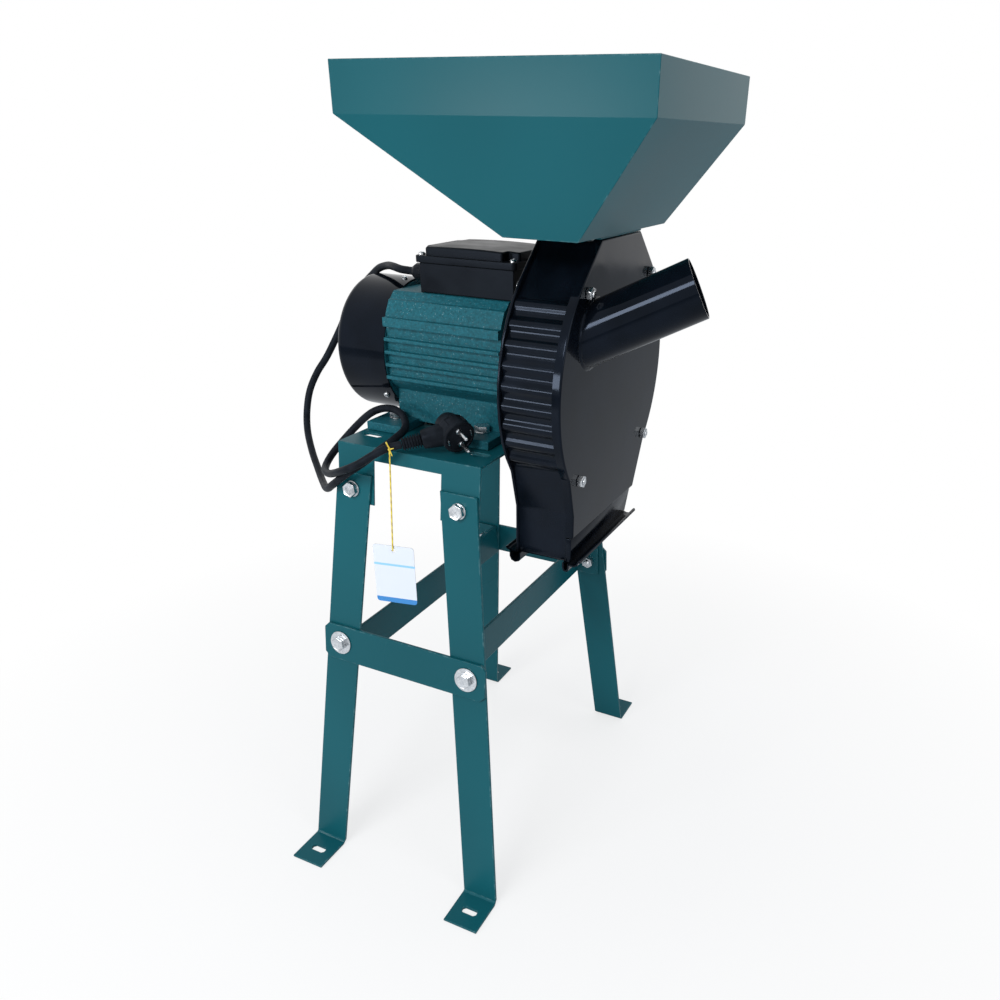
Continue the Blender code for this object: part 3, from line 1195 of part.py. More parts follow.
def make_tag(string, card, parent):
    knot = Vector(CORD_ROUTE[STRING_CORD_INDEX]) * MM
    before = Vector(CORD_ROUTE[STRING_CORD_INDEX - 1]) * MM
    after = Vector(CORD_ROUTE[STRING_CORD_INDEX + 1]) * MM
    turn = (after - before).to_track_quat("X", "Z").to_matrix()
    loop_r = CORD_R + STRING_R + 3 * SEAT
    drift = STRING_R * 2.4 / 8
    loop = [knot + turn @ Vector((drift * (i - 4), loop_r * cos(a), loop_r * sin(a)))
            for i, a in enumerate(pi * (0.2 * k - 0.6) for k in range(9))]
    hang = TAG_TOP + Vector((0, -TAG_SHEET / 2 - STRING_R - SEAT, -TAG_HOLE_R * 2))
    below = loop[-1] + Vector((0, -STRING_R, -2 * loop_r))
    points = loop + [below, Vector((hang.x, hang.y - STRING_R, (below.z + hang.z) / 2)), hang]
    tube_curve("tag_string", smooth_route(points, STRING_STEP)[0], STRING_R, 2, string, parent)
    half = TAG_WIDTH / 2
    low = TAG_TOP.z - TAG_HEIGHT
    hole_z = TAG_TOP.z - 2 * TAG_HOLE_R
    outline = [(-half, TAG_TOP.z), (0, TAG_TOP.z), (half, TAG_TOP.z), (half, hole_z), (half, low), (0, low),
               (-half, low), (-half, hole_z)]
    hole = [(TAG_HOLE_R * cos(a), hole_z + TAG_HOLE_R * sin(a))
            for a in (atan2(z - hole_z, x) for x, z in outline)]
    thick = TAG_SHEET / 2
    rings = [[Vector((TAG_TOP.x + x, TAG_TOP.y + y, z)) for x, z in edge] for y, edge in
             ((-thick, outline), (thick, outline), (thick, hole), (-thick, hole))]
    add_object("hang_tag", loft(rings, closed=True), card, parent)


def main():
    clear_scene()
    root = empty("hammer_mill", (-ORIGIN_X, 0, 0))
    rotor = empty("rotor_axis", (0, 0, AXIS_Z), root)
    axis = (0, 0, DRUM_Z)
    paint = finish("teal_paint", "#225f6c", 0.3)
    body_paint = finish("rough_teal_paint", "#25687a", 0.6)
    black = finish("gloss_black", "#15181d", 0.25)
    plastic = finish("black_plastic", "#17191c", 0.5)
    zinc = finish("zinc", "#c3c7ca", 0.35, 0.9)
    steel = finish("steel", "#a9adb1", 0.35, 0.9)
    dark = finish("dark_steel", "#5d6166", 0.5, 0.8)
    copper = finish("winding_copper", "#8a5a35", 0.5, 0.6)
    make_stand(paint, zinc, root)
    rear_wall, front_seat = make_motor(body_paint, black, steel, copper, root)
    make_terminal_box(plastic, zinc, root)
    make_rear_plate(black, root, axis)
    make_rim(black, root, axis)
    make_cover(black, root, axis)
    make_sieve(zinc, root, axis)
    make_drum_bolts(zinc, root, axis)
    make_rotor(steel, dark, plastic, rotor, rear_wall, front_seat)
    make_hopper(paint, root)
    make_gate(zinc, root)
    route, length = smooth_route(route_vectors(CORD_ROUTE), CORD_STEP)
    tube_curve("power_cord", route, CORD_R, 2, finish("cord_rubber", "#1b1c1e", 0.6), root)
    print("cord length", round(length, 3))
    make_plug(finish("plug_rubber", "#1d1e20", 0.5), root)
    make_tag(finish("yellow_string", "#d8b84a", 0.8), finish("tag_card", "#e8ecef", 0.6), root)


main()
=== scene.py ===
# %% [markdown]
# # Dressing a hammer mill
# A hammer mill crushes grain: a motor on a folded table turns a rotor with swinging hammers in a
# corrugated drum, and a big sheet hopper feeds it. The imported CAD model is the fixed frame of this
# lesson. The script gives that frame its looks: softened sheet edges, enamel, rubber and zinc,
# finer bolts, the supply cord with its plug, and the card that hangs on it.

# %% Load the frame
from math import atan2, cos, degrees, pi, radians, sin

import bmesh
import bpy
from bmesh.types import BMEdge, BMFace, BMVert
from mathutils import Matrix, Vector


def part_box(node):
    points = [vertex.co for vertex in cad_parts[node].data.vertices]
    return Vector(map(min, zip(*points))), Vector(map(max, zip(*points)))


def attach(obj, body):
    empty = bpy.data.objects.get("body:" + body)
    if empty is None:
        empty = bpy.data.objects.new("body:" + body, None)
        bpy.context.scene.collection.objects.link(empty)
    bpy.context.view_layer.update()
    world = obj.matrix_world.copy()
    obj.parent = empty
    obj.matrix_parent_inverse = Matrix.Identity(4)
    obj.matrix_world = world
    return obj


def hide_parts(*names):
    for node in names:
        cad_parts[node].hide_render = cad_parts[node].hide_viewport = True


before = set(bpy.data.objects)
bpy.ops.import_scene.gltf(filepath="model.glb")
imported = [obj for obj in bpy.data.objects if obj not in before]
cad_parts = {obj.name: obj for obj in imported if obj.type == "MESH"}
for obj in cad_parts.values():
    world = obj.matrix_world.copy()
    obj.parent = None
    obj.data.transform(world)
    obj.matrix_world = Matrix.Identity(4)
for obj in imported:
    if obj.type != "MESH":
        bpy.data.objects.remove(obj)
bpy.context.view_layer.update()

# %% [markdown]
# ## Where things are
# The mill was measured on its stand: x = 0 lies over the middle of the table. The frame's own zero
# is the middle of the footprint, so a point that was measured on the stand, in millimetres, is
# moved by the place of the table in the frame. One small function does that for the whole lesson.

# %% Points measured on the stand
MM = 0.001
table_low, table_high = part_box("table")
STAND_X = (table_low.x + table_high.x) / 2


def stand(x, y, z):
    """A point in millimetres on the stand, as a vector in the frame."""
    return Vector((x * MM + STAND_X, y * MM, z * MM))


print("table centre at x =", round(STAND_X, 4))

# %% [markdown]
# ## Camera
# The photograph was taken from the right front, a little above the hopper, with a short lens. Its
# turn, rise, roll, focal length and shift were found by matching edges of the stand and hopper.
# A matrix of the camera's three axes is clearer than Euler angles when a roll is involved.

# %% Camera at the photograph's place
IMAGE_SIZE = 1000
FOCAL_PIXELS = 844.75
VIEW_TURN, VIEW_RISE, VIEW_ROLL = radians(24.766), radians(27.787), radians(1.257)
CENTRE_PIXEL = (560.2, 580.05)
CAMERA_PLACE = stand(566.9, -942.3, 937.4)


def in_scene(name, data):
    """A new object for the data of a camera, lamp, mesh or curve, linked to the scene."""
    made = bpy.data.objects.new(name, data)
    bpy.context.scene.collection.objects.link(made)
    return made


back = Vector((sin(VIEW_TURN) * cos(VIEW_RISE), -cos(VIEW_TURN) * cos(VIEW_RISE), sin(VIEW_RISE)))
right = Vector((cos(VIEW_TURN), sin(VIEW_TURN), 0))
up = back.cross(right)
side_axis = right * cos(VIEW_ROLL) + up * sin(VIEW_ROLL)
top_axis = up * cos(VIEW_ROLL) - right * sin(VIEW_ROLL)
lens = bpy.data.cameras.new("photo_camera")
lens.sensor_width = 36.0
lens.lens = FOCAL_PIXELS * lens.sensor_width / IMAGE_SIZE
lens.shift_x = (IMAGE_SIZE / 2 - CENTRE_PIXEL[0]) / IMAGE_SIZE
lens.shift_y = (CENTRE_PIXEL[1] - IMAGE_SIZE / 2) / IMAGE_SIZE
camera = in_scene("photo_camera", lens)
axes = Matrix((side_axis, top_axis, back)).transposed().to_4x4()
camera.matrix_world = Matrix.Translation(CAMERA_PLACE) @ axes
bpy.context.scene.camera = camera
print("lens", round(lens.lens, 2), "mm, shift", round(lens.shift_x, 4), round(lens.shift_y, 4))

# %% [markdown]
# ## One helper for nodes
# Lights, floor and finishes are all small trees of nodes. `add` makes a node, sets its values and
# links its inputs, whatever kind it is, so a tree reads from top to bottom like a recipe.
# Colours are written as sRGB hex, as a paint chart gives them, and turned to linear values once.

# %% Node helper and colours
def add(tree, kind, values=None, links=None):
    """Adds a node; values set its sockets or properties, links join its sockets to outputs."""
    node = tree.nodes.new(kind)
    for key, value in (values or {}).items():
        if isinstance(key, int) or key in node.inputs:
            node.inputs[key].default_value = value
        else:
            setattr(node, key, value)
    for key, output in (links or {}).items():
        tree.links.new(output, node.inputs[key])
    return node


def srgb(hex_colour):
    """An sRGB hex colour as linear red, green, blue and alpha."""
    channels = [int(hex_colour[i:i + 2], 16) / 255 for i in (1, 3, 5)]
    return [c / 12.92 if c <= 0.04045 else ((c + 0.055) / 1.055) ** 2.4 for c in channels] + [1.0]


print("node helper ready; mid grey is", round(srgb("#808080")[0], 3))

# %% [markdown]
# ## Studio light
# The mill was photographed on white in even, bluish daylight. A pale world lights it from all
# sides, and four lamps give it a direction: a long key lamp high in front draws the bright line along
# the feed tube, a low strip on the left lights the waves of the drum, a fill lamp stands on the right
# and a wide one above. Camera, mirror and glass rays see the world as plain white.

# %% World and lamps
world = bpy.data.worlds.new("pale_daylight")
bpy.context.scene.world = world
world.use_nodes = True
tree = world.node_tree
tree.nodes.clear()
path = add(tree, "ShaderNodeLightPath")
mirror = add(tree, "ShaderNodeMath", {"operation": "MAXIMUM"},
             {0: path.outputs["Is Glossy Ray"], 1: path.outputs["Is Transmission Ray"]})
seen = add(tree, "ShaderNodeMath", {"operation": "MAXIMUM"},
           {0: path.outputs["Is Camera Ray"], 1: mirror.outputs[0]})
daylight = add(tree, "ShaderNodeBackground", {"Color": srgb("#e9eff6"), "Strength": 0.5})
plain_white = add(tree, "ShaderNodeBackground", {"Color": srgb("#ffffff"), "Strength": 1.0})
both = add(tree, "ShaderNodeMixShader",
           links={0: seen.outputs[0], 1: daylight.outputs[0], 2: plain_white.outputs[0]})
add(tree, "ShaderNodeOutputWorld", links={"Surface": both.outputs[0]})

LAMP_AIM = Vector((0, 0, 0.6))
LAMPS = (("key_lamp", (-0.22, -2.3, 2.05), (1.1, 0.5), 35),
         ("strip_lamp", (-1.0, -2.3, 0.86), (0.6, 0.46), 14),
         ("fill_lamp", (2.4, -0.9, 1.7), (1.0, 1.6), 11),
         ("top_lamp", (0.1, 0.3, 3.0), (2.4, 1.6), 14))
for name, place, size, power in LAMPS:
    lamp_data = bpy.data.lights.new(name, "AREA")
    lamp_data.shape = "RECTANGLE"
    lamp_data.size, lamp_data.size_y = size
    lamp_data.energy = power
    lamp = in_scene(name, lamp_data)
    lamp.location = place
    lamp.rotation_euler = (LAMP_AIM - lamp.location).to_track_quat("-Z", "Y").to_euler()
bpy.context.scene.view_settings.view_transform = "Standard"
print("lit by the world and", len(LAMPS), "lamps")

# %% [markdown]
# ## Floor
# A wide pale floor carries the shadow. Camera rays see it partly as paint and partly as plain
# white. The white share grows from the mill outwards, so the contact shadows under the feet stay
# and there is no horizon.

# %% Pale floor
FLOOR_HALF, FLOOR_DROP = 6.0, 0.5 * MM
bm = bmesh.new()
bmesh.ops.create_grid(bm, x_segments=1, y_segments=1, size=FLOOR_HALF)
bmesh.ops.translate(bm, verts=bm.verts, vec=(0, 0, -FLOOR_DROP))
floor_mesh = bpy.data.meshes.new("studio_floor")
bm.to_mesh(floor_mesh)
bm.free()
floor = in_scene("studio_floor", floor_mesh)
floor_paint = bpy.data.materials.new("matt_white_floor_paint")
floor_paint.use_nodes = True
tree = floor_paint.node_tree
tree.nodes.clear()
matt = add(tree, "ShaderNodeBsdfDiffuse", {"Color": srgb("#f1f2f3")})
glow = add(tree, "ShaderNodeEmission", {"Color": srgb("#ffffff"), "Strength": 1.0})
path = add(tree, "ShaderNodeLightPath")
spot = add(tree, "ShaderNodeTexCoord").outputs["Object"]
away = add(tree, "ShaderNodeVectorMath", {"operation": "LENGTH"}, {0: spot})
fade = add(tree, "ShaderNodeMapRange", {"From Min": 0.3, "From Max": 1.1, "To Min": 0.72, "To Max": 1.0},
           {"Value": away.outputs["Value"]})
share = add(tree, "ShaderNodeMath", {"operation": "MULTIPLY"},
            {0: path.outputs["Is Camera Ray"], 1: fade.outputs["Result"]})
blend = add(tree, "ShaderNodeMixShader", links={0: share.outputs[0], 1: matt.outputs[0], 2: glow.outputs[0]})
add(tree, "ShaderNodeOutputMaterial", links={"Surface": blend.outputs[0]})
floor_mesh.materials.append(floor_paint)
print("floor", [round(side, 1) for side in floor.dimensions])

# %% [markdown]
# ## How a finish starts
# Each finish is the Principled shader plus a few patterns. Values that are the same all over sit on
# the shader's own sockets. Patterns read Object coordinates, which stay with a piece when it moves,
# and their scale comes from a real size: a noise of scale 1000 / s has spots about s mm wide.

# %% Starting a finish
finishes = {}


def new_finish(slot, name, values):
    """A material kept under its slot; gives its tree, its shader and Object coordinates."""
    mat = bpy.data.materials.new(name)
    mat.use_nodes = True
    finishes[slot] = mat
    shader = mat.node_tree.nodes["Principled BSDF"]
    for key, value in values.items():
        shader.inputs[key].default_value = value
    return mat.node_tree, shader, add(mat.node_tree, "ShaderNodeTexCoord").outputs["Object"]


def join(tree, shader, sockets):
    """Links outputs to the shader's sockets by name."""
    for socket, output in sockets.items():
        tree.links.new(output, shader.inputs[socket])


def spots(size):
    """Noise scale for spots of a size in millimetres, in a scene of metres."""
    return 1000.0 / size


print("finishes start from the Principled shader")

# %% [markdown]
# ## Teal stove enamel
# Hopper, table, legs and braces are folded steel sheet in gloss enamel, sprayed and baked. It gives
# the eye a clear sheen over a faint orange peel of about 2 mm, slow drifts of tone over two hands'
# width, and small pale chips where the parts were knocked about. Enamel runs thin over edges and is
# rubbed there first: the Bevel node finds the edges, by how far its rounded normal leans away from
# the plain one, and a noise of 9 mm breaks the rubbed line up.

# %% Teal enamel
tree, shader, place = new_finish("teal_paint", "teal_stove_enamel",
                                 {"Specular IOR Level": 0.13})
drift = add(tree, "ShaderNodeTexNoise", {"Scale": spots(260), "Detail": 1.0}, {"Vector": place})
level = add(tree, "ShaderNodeMapRange",
            {"interpolation_type": "SMOOTHSTEP", "From Min": 0.15, "From Max": 0.85},
            {"Value": drift.outputs["Fac"]})
tone = add(tree, "ShaderNodeMix", {"data_type": "RGBA", 6: srgb("#0e4c55"), 7: srgb("#125963")},
           {0: level.outputs["Result"]})
rounded = add(tree, "ShaderNodeBevel", {"samples": 4, "Radius": 2.2 * MM})
plain = add(tree, "ShaderNodeNewGeometry").outputs["Normal"]
lean = add(tree, "ShaderNodeVectorMath", {"operation": "DOT_PRODUCT"},
           {0: rounded.outputs["Normal"], 1: plain})
edge = add(tree, "ShaderNodeMapRange",
           {"From Min": 0.992, "From Max": 0.93, "To Min": 0.0, "To Max": 1.0},
           {"Value": lean.outputs["Value"]})
rub = add(tree, "ShaderNodeTexNoise", {"Scale": spots(9), "Detail": 5.0, "Roughness": 0.65},
          {"Vector": place})
broken = add(tree, "ShaderNodeMapRange", {"From Min": 0.5, "From Max": 0.66, "To Max": 0.45},
             {"Value": rub.outputs["Fac"]})
rubbed = add(tree, "ShaderNodeMath", {"operation": "MULTIPLY"},
             {0: edge.outputs["Result"], 1: broken.outputs["Result"]})
nicks = add(tree, "ShaderNodeTexNoise", {"Scale": spots(6), "Detail": 5.0, "Roughness": 0.7},
            {"Vector": place})
chips = add(tree, "ShaderNodeMapRange", {"From Min": 0.735, "From Max": 0.765, "To Max": 0.75},
            {"Value": nicks.outputs["Fac"]})
worn_area = add(tree, "ShaderNodeMath", {"operation": "MAXIMUM"},
                {0: chips.outputs["Result"], 1: rubbed.outputs[0]})
worn = add(tree, "ShaderNodeMix", {"data_type": "RGBA", 7: srgb("#8fb0b4")},
           {0: worn_area.outputs[0], 6: tone.outputs[2]})
gloss = add(tree, "ShaderNodeMapRange", {"To Min": 0.26, "To Max": 0.34}, {"Value": level.outputs["Result"]})
peel = add(tree, "ShaderNodeTexNoise", {"Scale": spots(2.2), "Detail": 1.0}, {"Vector": place})
skin = add(tree, "ShaderNodeBump", {"Strength": 0.12, "Distance": 0.08 * MM},
           {"Height": peel.outputs["Fac"]})
join(tree, shader, {"Base Color": worn.outputs[2], "Roughness": gloss.outputs["Result"],
                    "Normal": skin.outputs["Normal"]})
print("made", finishes["teal_paint"].name)

# %% [markdown]
# ## Sprayed paint on a rough casting
# The motor's body is cast with a sandy skin, and the spray shows every grain: a grit, drawn at about
# 3 mm, coarser than life, so that it shows, paler on the tips, with a few bare bright specks. A bump
# and a higher roughness than the sheet's enamel make the ribs look soft.

# %% Casting paint
tree, shader, place = new_finish("motor_paint", "sprayed_paint_on_casting",
                                 {"Specular IOR Level": 0.15})
grit = add(tree, "ShaderNodeTexNoise", {"Scale": spots(3.2), "Detail": 4.0, "Roughness": 0.7},
           {"Vector": place})
level = add(tree, "ShaderNodeMapRange", {"From Min": 0.3, "From Max": 0.7}, {"Value": grit.outputs["Fac"]})
tone = add(tree, "ShaderNodeMix", {"data_type": "RGBA", 6: srgb("#11464f"), 7: srgb("#1d6674")},
           {0: level.outputs["Result"]})
flecks = add(tree, "ShaderNodeTexNoise", {"Scale": spots(2.0), "Detail": 2.0, "Roughness": 0.6},
             {"Vector": place})
bare = add(tree, "ShaderNodeMapRange", {"From Min": 0.65, "From Max": 0.73, "To Max": 0.6},
           {"Value": flecks.outputs["Fac"]})
flecked = add(tree, "ShaderNodeMix", {"data_type": "RGBA", 7: srgb("#8fb2b9")},
              {0: bare.outputs["Result"], 6: tone.outputs[2]})
gloss = add(tree, "ShaderNodeMapRange", {"To Min": 0.38, "To Max": 0.55}, {"Value": level.outputs["Result"]})
skin = add(tree, "ShaderNodeBump", {"Strength": 0.5, "Distance": 0.35 * MM},
           {"Height": grit.outputs["Fac"]})
join(tree, shader, {"Base Color": flecked.outputs[2], "Roughness": gloss.outputs["Result"],
                    "Normal": skin.outputs["Normal"]})
print("made", finishes["motor_paint"].name)

# %% [markdown]
# ## A recipe for mottled finishes
# Plain black paint, plastic and bare metal have no pattern to speak of, but none is perfectly even.
# They share one recipe: a noise lets tone and gloss drift together, and a finer or slower noise
# raises the skin. Where no second noise is given, the first raises the skin too.

# %% Mottled finish
def mottled(slot, name, values, cloud, reach, colours, rough, bump, grain=None):
    """A finish whose tone and gloss drift; cloud and grain are (spot size in mm, detail) of a noise."""
    tree, shader, place = new_finish(slot, name, values)
    haze = add(tree, "ShaderNodeTexNoise", {"Scale": spots(cloud[0]), "Detail": cloud[1]}, {"Vector": place})
    level = add(tree, "ShaderNodeMapRange", {"From Min": reach[0], "From Max": reach[1]},
                {"Value": haze.outputs["Fac"]})
    tone = add(tree, "ShaderNodeMix", {"data_type": "RGBA", 6: srgb(colours[0]), 7: srgb(colours[1])},
               {0: level.outputs["Result"]})
    gloss = add(tree, "ShaderNodeMapRange", {"To Min": rough[0], "To Max": rough[1]},
                {"Value": level.outputs["Result"]})
    if grain:
        raised = add(tree, "ShaderNodeTexNoise", {"Scale": spots(grain[0]), "Detail": grain[1]},
                     {"Vector": place})
    else:
        raised = haze
    skin = add(tree, "ShaderNodeBump", {"Strength": bump[0], "Distance": bump[1] * MM},
               {"Height": raised.outputs["Fac"]})
    join(tree, shader, {"Base Color": tone.outputs[2], "Roughness": gloss.outputs["Result"],
                        "Normal": skin.outputs["Normal"]})
    print("made", name)


print("recipe for mottled finishes ready")

# %% [markdown]
# ## Gloss black enamel
# Drum cover, feed tube and fan cover are dipped or sprayed black and are nearly mirror bright, so the
# eye sees mostly the room. A low roughness gives that, and a low specular level keeps the white room
# from greying the black. Its bluish tint is a painted sky reflection, and so is the faint blue in the
# black colours themselves. A slow waviness of the sheet, some 60 mm long, keeps the reflections from
# looking like plate glass. Corrugated steel round the drum has a duller sort of the same paint.

# %% Black enamel, bright and satin
# A blue tint on reflections: painted sky reflection, used on the blacks, the plastic and the cord.
SKY_TINT = srgb("#c3d6f5")
BLACKS = (("gloss_black", "gloss_black_enamel", 0.15, (0.05, 0.12)),
          ("satin_black", "satin_black_enamel", 0.17, (0.14, 0.24)))
# The blue in both black colours below is painted sky reflection, as is the sky tint on their reflections.
for slot, name, specular, rough in BLACKS:
    mottled(slot, name, {"Specular IOR Level": specular, "Specular Tint": SKY_TINT}, cloud=(45, 4.0),
            reach=(0.35, 0.65), colours=("#05080d", "#0a0f17"), rough=rough, bump=(0.25, 0.6),
            grain=(60, 2.0))

# %% [markdown]
# ## Moulded black ABS
# The terminal box and its lid are injection moulded in a spark-eroded mould, so the plastic has a
# fine even grain. It is drawn at 0.9 mm, coarser than life, so that it shows in the render.

# %% Moulded plastic
# The sky tint on its reflections is painted sky reflection.
mottled("black_plastic", "moulded_black_abs",
        {"IOR": 1.52, "Specular IOR Level": 0.09, "Specular Tint": SKY_TINT}, cloud=(35, 3.0),
        reach=(0.3, 0.7), colours=("#0d0f12", "#15181c"), rough=(0.28, 0.42), bump=(0.2, 0.12),
        grain=(0.9, 2.0))

# %% [markdown]
# ## Bright and dark metals
# Bolts and washers are zinc plated, a bluish white metal with a cloudy skin. Shaft and pins are
# turned steel with fine tool marks, drawn as spots of 1.2 mm. Hammers, discs and laminations are dark
# mill-scale steel, and the slide gate is galvanised sheet with dull spangles of about 9 mm. As metals
# they keep the default IOR.

# %% Zinc, turned steel, mill scale and galvanised sheet
METALS = (("zinc", "bright_zinc_plating", 4.0, ("#b7bbbf", "#cfd2d5"), (0.2, 0.32), 0.02),
          ("steel", "turned_steel", 1.2, ("#8f9499", "#b9bec2"), (0.22, 0.34), 0.03),
          ("dark_steel", "mill_scale_steel", 7.0, ("#3c4045", "#6d7278"), (0.4, 0.62), 0.1),
          ("galvanised", "galvanised_sheet", 9.0, ("#777d83", "#969ba0"), (0.42, 0.55), 0.03))
for slot, name, spot, colours, rough, depth in METALS:
    mottled(slot, name, {"Metallic": 1.0}, cloud=(spot, 4.0), reach=(0.3, 0.7), colours=colours,
            rough=rough, bump=(0.15, depth))

# %% [markdown]
# ## Varnished windings
# The motor's copper wire is wound in close turns and dipped in amber varnish. The turns are drawn
# about 3 mm apart, coarser than life, so that they show. They are seen only through the vents of the
# fan cover, but an open model shouldn't be grey inside.

# %% Varnished copper
tree, shader, place = new_finish("winding", "varnished_copper_wire", {"Metallic": 0.6})
turns = add(tree, "ShaderNodeTexWave", {"Scale": spots(10), "Distortion": 2.0, "Detail": 2.0},
            {"Vector": place})
tone = add(tree, "ShaderNodeMix", {"data_type": "RGBA", 6: srgb("#5f3519"), 7: srgb("#a8642f")},
           {0: turns.outputs["Fac"]})
gloss = add(tree, "ShaderNodeMapRange", {"To Min": 0.3, "To Max": 0.45}, {"Value": turns.outputs["Fac"]})
skin = add(tree, "ShaderNodeBump", {"Strength": 0.5, "Distance": 0.4 * MM}, {"Height": turns.outputs["Fac"]})
join(tree, shader, {"Base Color": tone.outputs[2], "Roughness": gloss.outputs["Result"],
                    "Normal": skin.outputs["Normal"]})
print("made", finishes["winding"].name)

# %% [markdown]
# ## Soft PVC of cord and plug
# The cord's jacket is extruded soft PVC: dull black, faintly dusty, with fine drag marks. The plug is
# the same stuff moulded, so it shares the finish.

# %% Cord jacket
# The sky tint on its reflections is painted sky reflection.
mottled("cord_rubber", "soft_pvc_jacket",
        {"IOR": 1.5, "Specular IOR Level": 0.06, "Specular Tint": SKY_TINT}, cloud=(14, 5.0),
        reach=(0.35, 0.75), colours=("#13161a", "#20242a"), rough=(0.38, 0.52), bump=(0.12, 0.06),
        grain=(1.2, 2.0))

# %% [markdown]
# ## Yellow twine and coated card
# The string is twisted polyester twine. Its strands show as slanted bands, drawn about 10 mm apart
# up the string, coarser than life, so that they show. The card is coated white board with two plain
# bands of blue, a wide one at the foot and a thin one below the hole.

# %% Twine
tree, shader, place = new_finish("string", "twisted_yellow_twine",
                                 {"Roughness": 0.75, "Sheen Weight": 0.3, "Sheen Roughness": 0.4})
twist = add(tree, "ShaderNodeTexWave", {"Scale": spots(16), "Distortion": 0.6, "bands_direction": "DIAGONAL"},
            {"Vector": place})
tone = add(tree, "ShaderNodeMix", {"data_type": "RGBA", 6: srgb("#c3a52c"), 7: srgb("#e6d04a")},
           {0: twist.outputs["Fac"]})
skin = add(tree, "ShaderNodeBump", {"Strength": 0.6, "Distance": 0.3 * MM}, {"Height": twist.outputs["Fac"]})
join(tree, shader, {"Base Color": tone.outputs[2], "Normal": skin.outputs["Normal"]})
print("made", finishes["string"].name)

# %% Coated card
card_low, card_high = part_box("hang_tag")
FOOT_BAND = card_low.z + 7 * MM
THIN_BAND = card_high.z - 28 * MM, card_high.z - 25 * MM
tree, shader, place = new_finish("card", "coated_white_card", {"Coat Weight": 0.15, "Coat Roughness": 0.2})
height = add(tree, "ShaderNodeSeparateXYZ", links={0: place}).outputs["Z"]
at_foot = add(tree, "ShaderNodeMath", {"operation": "LESS_THAN", 1: FOOT_BAND}, {0: height})
above = add(tree, "ShaderNodeMath", {"operation": "GREATER_THAN", 1: THIN_BAND[0]}, {0: height})
below = add(tree, "ShaderNodeMath", {"operation": "LESS_THAN", 1: THIN_BAND[1]}, {0: height})
thin = add(tree, "ShaderNodeMath", {"operation": "MULTIPLY"}, {0: above.outputs[0], 1: below.outputs[0]})
banded = add(tree, "ShaderNodeMix", {"data_type": "RGBA", 6: srgb("#d6dde8"), 7: srgb("#2b7fc4")},
             {0: at_foot.outputs[0]})
both = add(tree, "ShaderNodeMix", {"data_type": "RGBA", 7: srgb("#8cc6ec")},
           {0: thin.outputs[0], 6: banded.outputs[2]})
fibre = add(tree, "ShaderNodeTexNoise", {"Scale": spots(0.8), "Detail": 3.0}, {"Vector": place})
gloss = add(tree, "ShaderNodeMapRange", {"To Min": 0.3, "To Max": 0.55}, {"Value": fibre.outputs["Fac"]})
skin = add(tree, "ShaderNodeBump", {"Strength": 0.08, "Distance": 0.04 * MM},
           {"Height": fibre.outputs["Fac"]})
join(tree, shader, {"Base Color": both.outputs[2], "Roughness": gloss.outputs["Result"],
                    "Normal": skin.outputs["Normal"]})
print("made", finishes["card"].name)

# %% [markdown]
# ## How a piece is finished
# A piece that was modelled as a bmesh becomes an object at the origin. Its faces are shaded smooth,
# edges sharper than a limit stay crisp, and a Weighted Normal modifier keeps big faces flat next to
# their bevels; a wavy piece goes without it.

# %% From bmesh to piece
def piece(name, bm, slot, nodes=(), body="frame", crease=35, finish=None, flat=True):
    """Makes an object from a bmesh, dresses it and lets it ride on a body."""
    mesh = bpy.data.meshes.new(name)
    bm.to_mesh(mesh)
    bm.free()
    mesh.shade_smooth()
    mesh.set_sharp_from_angle(angle=radians(crease))
    mesh.materials.clear()
    mesh.materials.append(finishes[finish or slot])
    made = in_scene(name, mesh)
    if flat:
        even = made.modifiers.new("flat_faces_stay_flat", "WEIGHTED_NORMAL")
        even.keep_sharp = True
    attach(made, body)
    if nodes:
        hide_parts(*nodes)
    return made


# %% [markdown]
# ## Shaping tools
# Most small pieces start as a spun profile or a box, get their edges rounded and are then set on an
# axis of the mill. The operators' defaults differ from the editor's, so each is called in one place,
# with all that matters said.

# %% Spin, box, bevel and axis
def turned(bm, profile, steps=40):
    """Spins a chain of (radius, height) points, in millimetres, round the Z axis."""
    chain = [bm.verts.new((radius * MM, 0, height * MM)) for radius, height in profile]
    edges = [bm.edges.new(pair) for pair in zip(chain, chain[1:])]
    bmesh.ops.spin(bm, geom=chain + edges, cent=(0, 0, 0), axis=(0, 0, 1), dvec=(0, 0, 0), angle=2 * pi,
                   steps=steps, use_merge=True, use_duplicate=False)


def block(size):
    """A new bmesh of a box of a size in millimetres, round the origin."""
    bm = bmesh.new()
    bmesh.ops.create_cube(bm, size=1.0, matrix=Matrix.Diagonal((*(side * MM for side in size), 1)))
    return bm


def close_up(bm):
    """Merges doubled points and turns all faces outwards."""
    bmesh.ops.remove_doubles(bm, verts=bm.verts, dist=0.01 * MM)
    bmesh.ops.recalc_face_normals(bm, faces=bm.faces)


def join_meshes(bm, other):
    """Adds another bmesh to a bmesh and frees it."""
    carrier = bpy.data.meshes.new("carrier")
    other.to_mesh(carrier)
    other.free()
    bm.from_mesh(carrier)
    bpy.data.meshes.remove(carrier)


def round_edges(bm, edges, width, segments=2):
    """Rounds edges by a width in millimetres."""
    bmesh.ops.bevel(bm, geom=edges, offset=width * MM, offset_type="OFFSET", segments=segments,
                    profile=0.5, affect="EDGES", material=-1, clamp_overlap=True)


def axis_frame(origin, axis, side):
    """A matrix whose Z runs along an axis and whose X is close to a side direction."""
    z = axis.normalized()
    y = z.cross(side).normalized()
    return Matrix.Translation(origin) @ Matrix((y.cross(z), y, z)).transposed().to_4x4()


def set_on_axis(bm, origin, axis, side):
    """Moves a shape that was made round the Z axis to an origin and an axis of the mill."""
    bmesh.ops.transform(bm, matrix=axis_frame(origin, axis, side), verts=bm.verts)


print("shaping tools ready")

